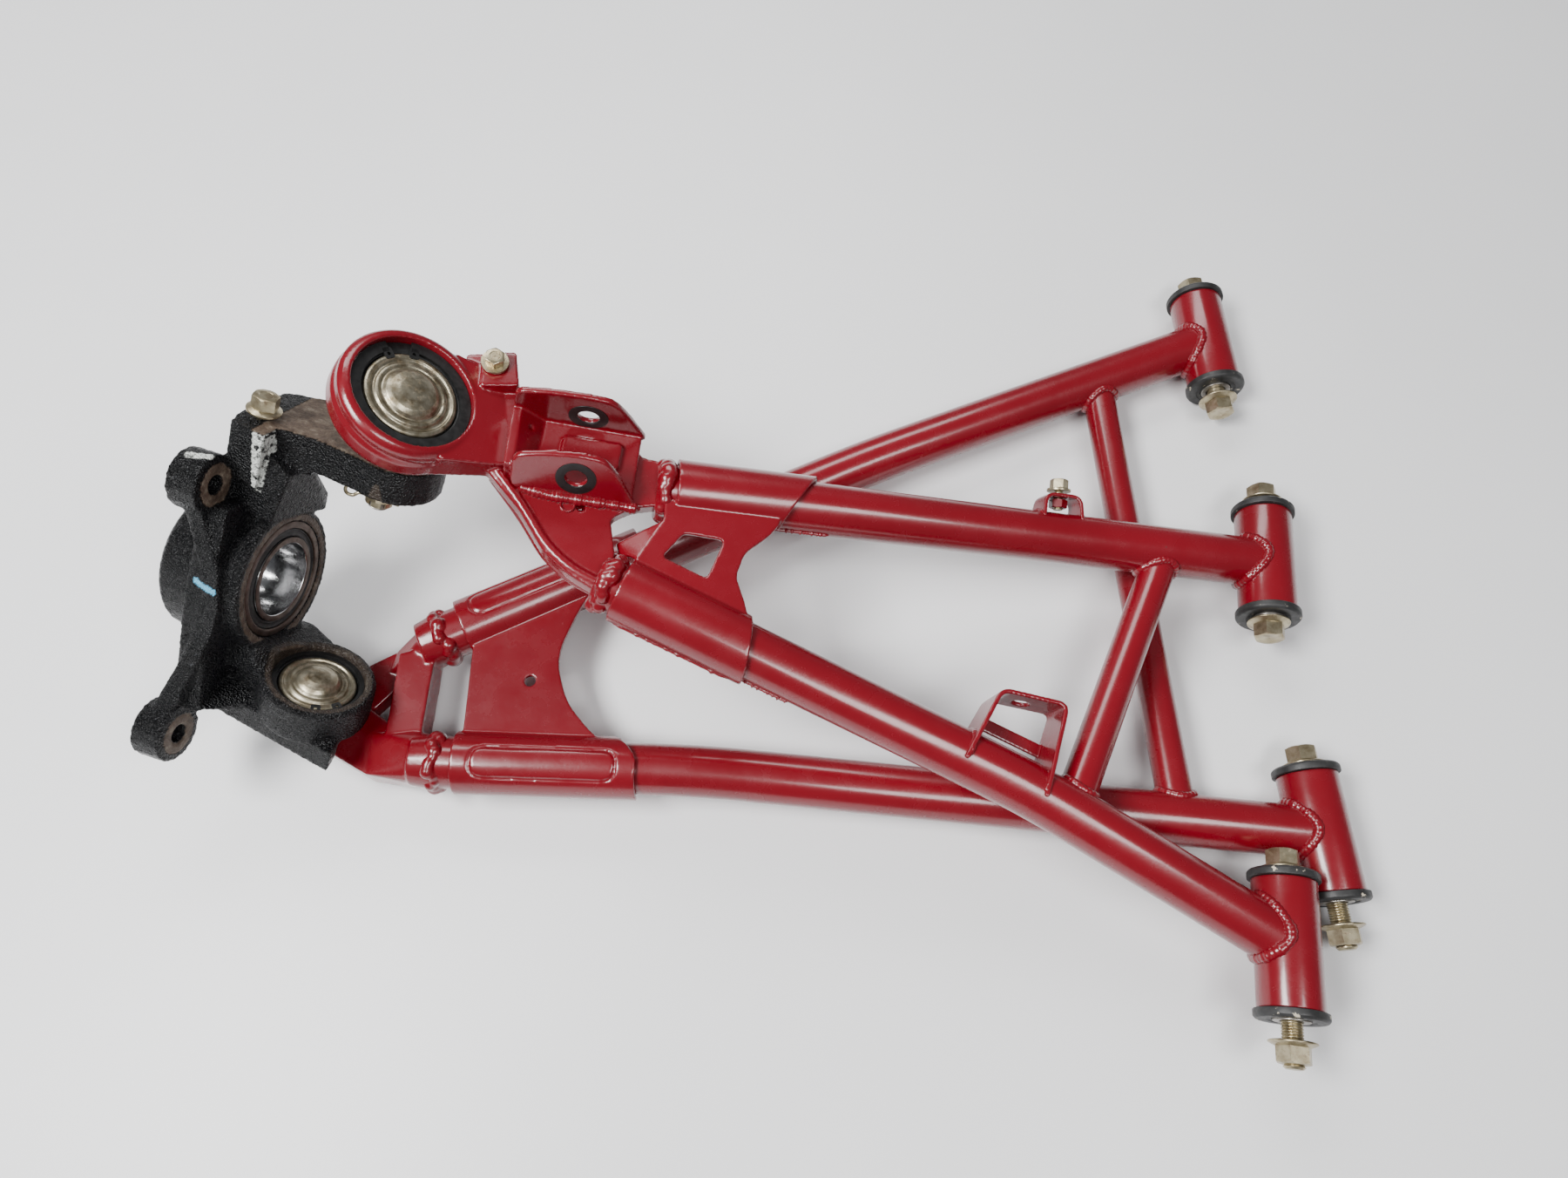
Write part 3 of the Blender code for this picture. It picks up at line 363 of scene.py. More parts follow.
def cut(shape, cutters):
    """Exact difference of one closed shape and a few cutters."""
    item = loose_object(shape if isinstance(shape, bpy.types.Mesh) else to_mesh(shape, "base"))
    tools = []
    for cutter in cutters:
        tool = loose_object(to_mesh(cutter.copy(), "tool"))
        step = item.modifiers.new("cut", "BOOLEAN")
        step.operation, step.solver, step.object = "DIFFERENCE", "EXACT", tool
        tools.append(tool)
    made = evaluated(item)
    for tool in tools:
        bpy.data.objects.remove(tool, do_unlink=True)
    return made


def fuse(shapes, voxel, smooth, cutters=()):
    """Grow overlapping closed shapes into one skin with soft inside corners, like a casting."""
    if cutters:
        shapes = [cut(shape, cutters) for shape in shapes]
    item = loose_object(merge(shapes))
    remesh = item.modifiers.new("skin", "REMESH")
    remesh.mode, remesh.voxel_size = "VOXEL", voxel
    soften = item.modifiers.new("soften", "SMOOTH")
    soften.factor, soften.iterations = 0.5, smooth
    return evaluated(item)


def add(name, mesh, body, look, stands_for=(), sharp=40, slot=None):
    """Show a finished mesh as one piece that rides on a CAD body."""
    if not isinstance(mesh, bpy.types.Mesh):
        mesh = to_mesh(mesh, name)
    mesh.name = name
    mesh.materials.clear()
    mesh.materials.append(LOOKS[look])
    mesh.shade_smooth()
    mesh.set_sharp_from_angle(angle=math.radians(sharp))
    item = bpy.data.objects.new(name, mesh)
    bpy.context.scene.collection.objects.link(item)
    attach(item, body)
    if stands_for:
        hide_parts(*stands_for)
    return item


def skin(node, mesh, body, look, **rest):
    """The finished look of one CAD node."""
    return add(node + "_skin", mesh, body, look, [node], **rest)


def weldment(node, mesh, body):
    return skin(node, mesh, body, "paint", sharp=60)


def fastener(node, shapes, body):
    return skin(node, merge(shapes), body, "zinc", sharp=32)


def weld_bead(name, points, body, radius=0.0024, closed=True, pitch=0.0026, seed=1):
    """A stacked weld bead: a lumpy strand along a seam."""
    line = resample(points, 0.0007, closed)
    wander = [noise.noise(p * 190 + Vector((seed, 0, 0))) for p in line]
    step = (line[1] - line[0]).length

    def radius_at(i, count):
        ripple = 1 + 0.06 * math.cos(2 * math.pi * i * step / pitch) + 0.32 * wander[i]
        taper = 1.0 if closed else min(1.0, 0.25 + min(i, count - 1 - i) / 6.0)
        return radius * ripple * taper

    return add(name, strand(line, radius_at, 12, closed), body, "paint", sharp=60)


# ---------------------------------------------------------------- materials
def shader_of(name, metallic, roughness):
    made = bpy.data.materials.new(name)
    made.use_nodes = True
    tree = made.node_tree
    shader = tree.nodes["Principled BSDF"]
    shader.inputs["Metallic"].default_value = metallic
    shader.inputs["Roughness"].default_value = roughness
    return made, tree, shader


def feed(socket, value):
    """Set a socket to a number or colour, or link it to the output that feeds it."""
    if isinstance(value, bpy.types.NodeSocket):
        socket.id_data.links.new(value, socket)
    else:
        socket.default_value = (*value, 1) if isinstance(value, tuple) else value


def wire(shader, name, output):
    feed(shader.inputs[name], output)


def add_node(tree, kind, output, **inputs):
    node = tree.nodes.new("ShaderNode" + kind)
    for name, value in inputs.items():
        feed(node.inputs[name], value)
    return node.outputs[output]


def coordinates(tree):
    return add_node(tree, "TexCoord", "Object")


def grain(tree, scale, detail=4.0, roughness=0.55):
    return add_node(tree, "TexNoise", "Fac", Vector=coordinates(tree), Scale=scale, Detail=detail,
                    Roughness=roughness)


def cells(tree, scale):
    return add_node(tree, "TexVoronoi", "Distance", Vector=coordinates(tree), Scale=scale)


def curve(tree, value, stops):
    """Map a value through a colour ramp given as (position, colour or grey)."""
    node = tree.nodes.new("ShaderNodeValToRGB")
    while len(node.color_ramp.elements) < len(stops):
        node.color_ramp.elements.new(0.5)
    for element, (position, tone) in zip(node.color_ramp.elements, stops):
        element.position = position
        element.color = (*tone, 1) if isinstance(tone, tuple) else (tone, tone, tone, 1)
    tree.links.new(value, node.inputs["Fac"])
    return node.outputs["Color"]


def blend(tree, amount, first, second, kind="MIX"):
    node = tree.nodes.new("ShaderNodeMix")
    node.data_type, node.blend_type = "RGBA", kind
    for name, value in (("Factor", amount), ("A", first), ("B", second)):
        feed(node.inputs[name], value)
    return node.outputs["Result"]


def mask(tree, name):
    node = tree.nodes.new("ShaderNodeAttribute")
    node.attribute_name = name
    return node.outputs["Fac"]


def roughen(tree, height, strength, distance, **below):
    """Bump from a height; `Normal` may be the output of a bump below it."""
    return add_node(tree, "Bump", "Normal", Height=height, Strength=strength, Distance=distance, **below)


def paint_look():
    """Glossy crimson powder coat with orange peel, a film of dust and a few small chips."""
    made, tree, shader = shader_of("look_paint", 0.0, 0.3)
    tone = curve(tree, grain(tree, 7, 5), [(0.25, (0.128, 0.0012, 0.0055)),
                                           (0.75, (0.176, 0.0020, 0.0088))])
    film = curve(tree, grain(tree, 38, 8, 0.65), [(0.56, 0.0), (0.85, 0.08)])
    tone = blend(tree, film, tone, (0.20, 0.045, 0.045))
    fleck = curve(tree, cells(tree, 95), [(0.040, 1.0), (0.055, 0.0)])
    rare = curve(tree, grain(tree, 14, 3), [(0.66, 0.0), (0.69, 1.0)])
    chips = blend(tree, 1.0, fleck, rare, "MULTIPLY")
    tone = blend(tree, chips, tone, (0.035, 0.018, 0.015))
    wire(shader, "Base Color", tone)
    gloss = curve(tree, grain(tree, 55, 6, 0.6), [(0.3, 0.22), (0.75, 0.32)])
    wire(shader, "Roughness", blend(tree, chips, gloss, (0.7, 0.7, 0.7)))
    shader.inputs["Coat Weight"].default_value = 0.45
    shader.inputs["Coat Roughness"].default_value = 0.12
    peel = roughen(tree, grain(tree, 420, 3), 0.10, 0.0004)
    wire(shader, "Normal", roughen(tree, grain(tree, 60, 2), 0.10, 0.0008, Normal=peel))
    return made


def cast_look():
    """Black painted sand casting; machined spots show rusty metal, and two chalk marks are left on it."""
    made, tree, shader = shader_of("look_cast", 0.0, 0.5)
    coarse, fine = grain(tree, 520, 4, 0.6), cells(tree, 900)
    tone = curve(tree, grain(tree, 26, 6), [(0.3, (0.0012, 0.0012, 0.0014)),
                                            (0.7, (0.0034, 0.0034, 0.0040))])
    worn = curve(tree, grain(tree, 560, 2), [(0.68, 0.0), (0.74, 0.38)])
    tone = blend(tree, worn, tone, (0.10, 0.105, 0.115))
    rust = curve(tree, grain(tree, 190, 6, 0.7),
                 [(0.30, (0.030, 0.018, 0.012)), (0.52, (0.085, 0.060, 0.043)), (0.75, (0.20, 0.17, 0.13))])
    bare = mask(tree, "bare")
    tone = blend(tree, bare, tone, rust)
    broken = curve(tree, grain(tree, 240, 5, 0.7), [(0.40, 0.0), (0.50, 1.0)])
    chalk = blend(tree, 1.0, mask(tree, "chalk"), broken, "MULTIPLY")
    tone = blend(tree, chalk, tone, (0.62, 0.64, 0.60))
    tone = blend(tree, mask(tree, "crayon"), tone, (0.12, 0.42, 0.62))
    wire(shader, "Base Color", tone)
    rough = curve(tree, grain(tree, 300, 3), [(0.3, 0.24), (0.7, 0.38)])
    wire(shader, "Roughness", blend(tree, bare, rough, (0.55, 0.55, 0.55)))
    depth = curve(tree, bare, [(0.0, 1.0), (1.0, 0.15)])
    relief = blend(tree, 1.0, blend(tree, 0.45, coarse, fine), depth, "MULTIPLY")
    shader.inputs["Specular IOR Level"].default_value = 0.28
    wire(shader, "Normal", roughen(tree, relief, 1.0, 0.0022))
    return made


def plated_look(name, bright, dull, rust, rust_from, roughness):
    """Zinc plate, yellowed and dulled, with rust blooming through."""
    made, tree, shader = shader_of(name, 0.85, roughness)
    tone = curve(tree, grain(tree, 150, 5, 0.6), [(0.32, dull), (0.62, bright)])
    bloom = curve(tree, grain(tree, 260, 7, 0.72), [(rust_from, 0.0), (rust_from + 0.16, 0.9)])
    wire(shader, "Base Color", blend(tree, bloom, tone, rust))
    wire(shader, "Roughness", curve(tree, bloom, [(0.0, roughness), (1.0, 0.75)]))
    wire(shader, "Metallic", curve(tree, bloom, [(0.0, 0.9), (1.0, 0.25)]))
    wire(shader, "Normal", roughen(tree, grain(tree, 900, 4), 0.18, 0.0003))
    return made


def ground_look():
    """Bright ground bearing steel with fine turning marks."""
    made, tree, shader = shader_of("look_ground", 1.0, 0.18)
    wire(shader, "Base Color", curve(tree, grain(tree, 90, 3),
                                     [(0.3, (0.46, 0.46, 0.47)), (0.7, (0.66, 0.66, 0.66))]))
    wire(shader, "Roughness", curve(tree, grain(tree, 700, 3), [(0.3, 0.12), (0.7, 0.26)]))
    wire(shader, "Normal", roughen(tree, grain(tree, 1500, 2), 0.05, 0.0002))
    return made


def black_look(name, tone, chip, chip_from, roughness):
    """Black plastic, rubber or primer, with dusty and chipped patches."""
    made, tree, shader = shader_of(name, 0.0, roughness)
    dusty = curve(tree, grain(tree, 120, 6, 0.65), [(0.35, tone), (0.8, tuple(3.2 * v for v in tone))])
    flake = curve(tree, grain(tree, 170, 4, 0.6), [(chip_from, 0.0), (chip_from + 0.02, 1.0)])
    wire(shader, "Base Color", blend(tree, flake, dusty, chip))
    wire(shader, "Roughness", curve(tree, grain(tree, 300, 4),
                                    [(0.3, roughness - 0.12), (0.7, roughness + 0.1)]))
    wire(shader, "Normal", roughen(tree, grain(tree, 500, 4), 0.2, 0.0003))
    return made


def floor_look():
    """Pale painted floor with the faintest unevenness."""
    made, tree, shader = shader_of("look_floor", 0.0, 0.42)
    wire(shader, "Base Color", curve(tree, grain(tree, 3, 4),
                                     [(0.3, (0.76, 0.762, 0.768)), (0.7, (0.80, 0.800, 0.806))]))
    wire(shader, "Normal", roughen(tree, grain(tree, 60, 4), 0.04, 0.001))
    return made


# bright, dull and rusty tones, the level the rust starts at, roughness
PLATED = {
    "zinc": ((0.50, 0.44, 0.30), (0.25, 0.20, 0.12), (0.11, 0.055, 0.025), 0.57, 0.32),
    "cap": ((0.40, 0.365, 0.275), (0.17, 0.135, 0.080), (0.085, 0.050, 0.025), 0.54, 0.34),
    "steel": ((0.38, 0.36, 0.33), (0.18, 0.16, 0.14), (0.10, 0.05, 0.03), 0.58, 0.36),
    "rust": ((0.105, 0.080, 0.066), (0.055, 0.038, 0.030), (0.045, 0.024, 0.016), 0.52, 0.42),
}
# tone, tone of the chips, the level the chips start at, roughness
BLACK = {
    "plastic": ((0.010, 0.010, 0.010), (0.50, 0.44, 0.34), 0.66, 0.50),
    "primer": ((0.0035, 0.0035, 0.0035), (0.03, 0.02, 0.015), 0.72, 0.50),
    "rubber": ((0.008, 0.008, 0.008), (0.03, 0.022, 0.016), 0.66, 0.62),
}
LOOKS = {"paint": paint_look(), "cast": cast_look()}
LOOKS.update({name: plated_look("look_" + name, *tones) for name, tones in PLATED.items()})
LOOKS["ground"] = ground_look()
LOOKS.update({name: black_look("look_" + name, *tones) for name, tones in BLACK.items()})


# ---------------------------------------------------------------- pivots
def thread(radius, bottom, top, where):
    """A threaded end: evenly spaced grooves, then a chamfered tip."""
    profile, height = [(0, bottom)], bottom
    while height < top - 0.0022:
        profile += [(radius, height), (radius, height + 0.0003), (radius - 0.0007, height + 0.0008)]
        height += THREAD_PITCH
    profile += [(radius, height), (radius, top - 0.0012), (radius - 0.0012, top), (0, top)]
    return lathe(profile, where, 32)


def flange_profile(bore, base):
    """Washer face of a flange bolt or nut."""
    crown = base + FLANGE_T + 0.0008
    return [(bore, base), (FLANGE_R - 0.0006, base), (FLANGE_R, base + 0.0004), (FLANGE_R, base + 0.0011),
            (HEX_FLATS / 2 + 0.0005, crown), (bore, crown)]


def make_pivot(name):
    """One pivot: tube, two flanged bushings, sleeve, and a loose bolt with its nut."""
    front_gap, rear_gap, head_end = PIVOTS[name]
    centre, line = PIVOT_PLACE[name]
    arm = name.split("_")[0] + "_arm"
    where = place(centre, line, (0, 0, 1))
    half, reach = PIVOT_HALF, PIVOT_HALF + LIP_THICK + 2 * GAP
    shell = washer(PIVOT_BORE, PIVOT_R, -half, half)
    skin(name + "_pivot_tube", lathe(shell, where, 72, 0.0007), arm, "paint")
    for label, flip in (("front", Matrix.Rotation(math.pi, 4, "X")), ("rear", Matrix.Identity(4))):
        inner, barrel, start = SLEEVE_R + GAP, PIVOT_BORE - GAP, half + GAP
        outline = [(inner, half - 0.026), (barrel, half - 0.026), (barrel, start), (LIP_R, start),
                   (LIP_R, start + 0.0036), (LIP_R - 0.0013, start + LIP_THICK),
                   (inner + 0.003, start + LIP_THICK), (inner + 0.0025, start + LIP_THICK - 0.0006),
                   (inner, start + LIP_THICK - 0.0006)]
        skin(f"{name}_bushing_{label}", lathe(outline, where @ flip, 64, 0.0005), arm, "plastic")
    sleeve = washer(SLEEVE_BORE, SLEEVE_R, -reach, reach)
    skin(name + "_sleeve", lathe(sleeve, where, 48, 0.0004), name + "_sleeve_body", "steel")
    at_front = head_end == "front"
    turned = where @ Matrix.Rotation(math.pi if at_front else 0.0, 4, "X")
    head_gap, nut_gap = (front_gap, rear_gap) if at_front else (rear_gap, front_gap)
    head, nut = reach + head_gap, reach + nut_gap
    tip = nut + HEX_H + FLANGE_T + 0.0025
    away = turned @ Matrix.Rotation(math.pi, 4, "X")
    shank = rod(BOLT_R - 0.0001, 0.0, head + 0.001, turned, 32)
    shapes = [shank, thread(BOLT_R - 0.0001, -0.0005, tip, away),
              lathe(flange_profile(0, head), turned, 56, 0.0002),
              hex_head(HEX_FLATS, head + 0.001, head + FLANGE_T + HEX_H, turned)]
    fastener(name + "_bolt", shapes, name + "_bolt_body")
    bore = BOLT_R + BITE
    shapes = [lathe(flange_profile(bore, nut), away, 56, 0.0002),
              hex_head(HEX_FLATS, nut + 0.001, nut + FLANGE_T + HEX_H, away, bore)]
    fastener(name + "_nut", shapes, name + "_bolt_body")


# ---------------------------------------------------------------- arm tubes and their welds
def make_tubes():
    pivots = {name: (*PIVOT_PLACE[name], PIVOT_R - BITE) for name in PIVOTS}
    mains = {"lower_rear": (LOWER_REAR_PATH, "lower_arm"), "lower_front": (LOWER_FRONT_PATH, "lower_arm"),
             "upper_rear": (UPPER_REAR_PATH, "upper_arm"), "upper_front": (UPPER_FRONT_PATH, "upper_arm")}
    for seed, (name, (path, body)) in enumerate(mains.items()):
        shape, root, _ = tube(path, TUBE_R, TUBE_BORE, start=pivots[name])
        skin(name + "_tube", shape, body, "paint")
        weld_bead(name + "_pivot_weld", root, body, 0.0033, seed=seed)
    crosses = {"lower_cross": (LOWER_CROSS, LOWER_REAR_PATH[:2], LOWER_FRONT_PATH[:2], "lower_arm"),
               "upper_cross": (UPPER_CROSS, UPPER_REAR_PATH, UPPER_FRONT_PATH[:2], "upper_arm")}
    for seed, (name, (path, first, last, body)) in enumerate(crosses.items()):
        ends = [(leg[0], (leg[1] - leg[0]).normalized(), TUBE_R - BITE) for leg in (first, last)]
        shape, root, tip = tube(path, CROSS_R, CROSS_BORE, 48, start=ends[0], end=ends[1])
        skin(name + "_tube", shape, body, "paint")
        weld_bead(name + "_rear_weld", root, body, 0.0027, seed=10 + seed)
        weld_bead(name + "_front_weld", tip, body, 0.0027, seed=20 + seed)


def wrap(start, end, low, high, up, edge=lambda angle: 0.0):
    """Sheet wrapped over a tube from start to end; `edge` moves the starting edge along, by wrap angle."""
    where = place(start, end - start, up)
    length, inner, outer = (end - start).length, TUBE_R + 1.5 * GAP, TUBE_R + 1.5 * GAP + SHEET
    steps, verts, faces = 40, [], []
    for h in (0.0, length):
        for radius in (inner, outer):
            for k in range(steps + 1):
                angle = math.radians(low + (high - low) * k / steps)
                lean = 0.0 if h else edge(angle)
                verts.append((radius * math.cos(angle), radius * math.sin(angle), h + lean))
    per = steps + 1
    for k in range(steps):
        for a, b in ((0, 1), (3, 2), (1, 3), (2, 0)):
            faces.append([a * per + k, a * per + k + 1, b * per + k + 1, b * per + k])
    faces += [[0, per, 3 * per, 2 * per], [steps, per + steps, 3 * per + steps, 2 * per + steps]]
    return solid(verts, faces, where)


def on_head(x, y, lift=0.0):
    """A point of the upper arm's middle plane, in datum coordinates, raised along the plane's normal."""
    return spot(x, y, 0.0997 - 0.225 * x + 0.0076 * y) + HEAD_UP * lift


def slab_on_head(outline, low, high, corner=0.0, steps=3):
    """A plate on the upper arm's middle plane, its outline rounded."""
    return prism(fillet(outline, corner, steps) if corner else outline, low, high, lift=on_head)


def stadium(start, end, up, low, high, width):
    """A rounded-end groove cutter running along the top of a wrapped tube."""
    where = place(start, end - start, up)
    length, radius = (end - start).length, TUBE_R + 1.5 * GAP + SHEET
    middle = math.radians((low + high) / 2)
    half = math.radians(high - low) / 2 * radius
    outline = fillet([(-half, 0), (half, 0), (half, length), (-half, length)], half * 0.95, 8)
    loop = []
    for across, along in outline:
        angle = middle + across / radius
        loop.append(where @ Vector((radius * math.cos(angle), radius * math.sin(angle), along)))
    return strand(resample(loop, 0.0012, True), width, 8, True)


def make_lower_gusset():
    """Triangular sheet between the lower tubes, wrapped over both, with a stadium groove on each wrap."""
    leg, slope = LOWER_FRONT_LEG, LOWER_REAR_LEG
    front_a, front_b = LOWER_FRONT_PATH[1] + leg * 0.039, LOWER_FRONT_PATH[1] + leg * 0.150
    rear_b = LOWER_REAR_PATH[2] - slope * 0.012
    rear_a = rear_b - slope * 0.125
    scoop = [(-0.1000, 0.1840), (-0.1110, 0.1880), (-0.1187, 0.1943), (-0.1345, 0.2127), (-0.1412, 0.2366),
             (-0.1401, 0.2494), (-0.1299, 0.2761), (-0.1180, 0.2950)]
    outline = [(-0.1960, 0.1870), *fillet(scoop, 0.02, 6, closed=False), (-0.1960, 0.2560)]
    web = prism(outline, 0.0343, 0.0375, lift=spot)
    hole = rod(0.0035, 0.0, 0.06, place(spot(-0.1578, 0.2262, 0), (0, 0, 1)), 24)
    clear = [strand([p, q], TUBE_R + GAP, 48) for p, q in
             ((LOWER_FRONT_PATH[1] - leg * 0.02, LOWER_FRONT_PATH[2] + leg * 0.02),
              (LOWER_REAR_PATH[1], LOWER_REAR_PATH[2] + slope * 0.02))]
    grooves = [stadium(front_a + leg * 0.012, front_b - leg * 0.012, (0, 0, 1), -40, 18, 0.0011),
               stadium(rear_a + slope * 0.012, rear_b - slope * 0.010, (0, 0, 1), -10, 45, 0.0011)]
    shapes = [wrap(front_a, front_b, -100, 95, (0, 0, 1), lambda a: 0.015 * max(0.0, math.sin(a)) ** 1.6),
              wrap(rear_a, rear_b, -95, 100, (0, 0, 1), lambda a: 0.012 * max(0.0, -math.sin(a)) ** 1.6),
              web]
    mesh = fuse(shapes, 0.00075, 5, [hole, *grooves, *clear])
    weldment("lower_gusset", mesh, "lower_arm")


def circle(centre, axis, radius, steps=28):
    where = place(centre, axis)
    return [where @ Vector((x, y, 0)) for x, y in arc(0, 0, radius, 0, 360 - 360 / steps, steps - 1)]


def make_lower_head():
    """Forged and pressed end of the lower arm: two legs, a bridge and the socket round the ball stud."""
    node = frame["nodes"]["lower_head"].data.copy()
    ends = {"front": (LOWER_FRONT_PATH[2], LOWER_FRONT_LEG), "rear": (LOWER_REAR_PATH[2], LOWER_REAR_LEG)}
    lumps = []
    for point, axis in ends.values():
        near, far = circle(point + axis * 0.001, axis, 0.0172), circle(point + axis * 0.016, axis, 0.0150)
        lumps.append(hull(near + far))
    weldment("lower_head", fuse([node, *lumps], 0.0008, 7), "lower_arm")
    for seed, (label, (point, axis)) in enumerate(ends.items(), 31):
        weld_collar(f"lower_head_{label}_weld", point + axis * 0.001, axis, "lower_arm", seed)


# ---------------------------------------------------------------- upper arm sheet work
def make_upper_gusset():
    """Sheet between the upper tubes, wrapped over both, with a window and a bent-down flap."""
    rear_leg, front_leg = UPPER_REAR_LEG, UPPER_FRONT_LEG
    rear_b = UPPER_REAR_PATH[1] - rear_leg * 0.006
    front_b = UPPER_FRONT_PATH[2] - front_leg * 0.008
    outline = [(-0.004, 0.298), (-0.0098, 0.2893), (-0.0246, 0.2760), (-0.0295, 0.2610), (-0.0236, 0.2433),
               (-0.021, 0.229), (-0.055, 0.2440), (-0.0885, 0.2585), (-0.0845, 0.2664), (-0.0708, 0.2919),
               (-0.071, 0.306), (-0.004, 0.306)]
    bent = [(-0.0708, 0.2919, 0.011), (-0.0845, 0.2664, 0.011), (-0.0940, 0.2720, 0.001),
            (-0.0958, 0.2790, 0.001)]
    flap = hull([on_head(x, y, z - thick) for x, y, z in bent for thick in (0.0, SHEET)])
    web = slab_on_head(outline, 0.0080, 0.0110, 0.004, 4)
    corners = [(-0.0591, 0.2850), (-0.0364, 0.2830), (-0.0458, 0.2582), (-0.0708, 0.2690)]
    window = slab_on_head(corners, 0.0, 0.03, 0.003, 4)
    clear = [strand([p, q], TUBE_R + GAP, 48) for p, q in
             ((UPPER_REAR_PATH[0], UPPER_REAR_PATH[1] + rear_leg * 0.03),
              (UPPER_FRONT_PATH[1], UPPER_FRONT_PATH[2] + front_leg * 0.03))]
    shapes = [wrap(rear_b - rear_leg * 0.074, rear_b, -80, 105, HEAD_UP, lambda a: -0.0115 * math.sin(a)),
              wrap(front_b - front_leg * 0.078, front_b, -105, 80, HEAD_UP, lambda a: 0.0055 * math.sin(a)),
              web, flap]
    mesh = fuse(shapes, 0.00075, 5, [window, *clear])
    weldment("upper_gusset", mesh, "upper_arm")
    along_tube("upper_gusset_front_drips", front_b, -front_leg, 0.004, 0.076, -100, 0.0190, 0.0015, 81)
    along_tube("upper_front_tube_drips", front_b, -front_leg, 0.080, 0.112, -104, 0.0160, 0.0013, 83)
    along_tube("upper_rear_tube_drips", rear_b, -rear_leg, 0.058, 0.094, -96, 0.0162, 0.0014, 82)


def along_tube(name, origin, direction, start, end, angle, reach, radius, seed):
    """A run of weld spatter and paint drips along a tube, at an angle round it from its top."""
    where = place(origin, direction, HEAD_UP)
    turn = math.radians(-angle)
    side, steps = Vector((reach * math.cos(turn), reach * math.sin(turn), 0.0)), 120
    heights = [start + (end - start) * i / steps for i in range(steps + 1)]
    line = [where @ (side + Vector((0.0, 0.0, height))) for height in heights]

    def radius_at(i, count):
        lump = noise.noise(Vector((i * 0.17, seed, 0.0)))
        taper = min(1.0, 0.2 + min(i, count - 1 - i) / 8)
        return radius * (0.75 + 1.1 * max(0.0, lump)) * taper

    add(name, strand(line, radius_at, 10), "upper_arm", "paint", sharp=60)


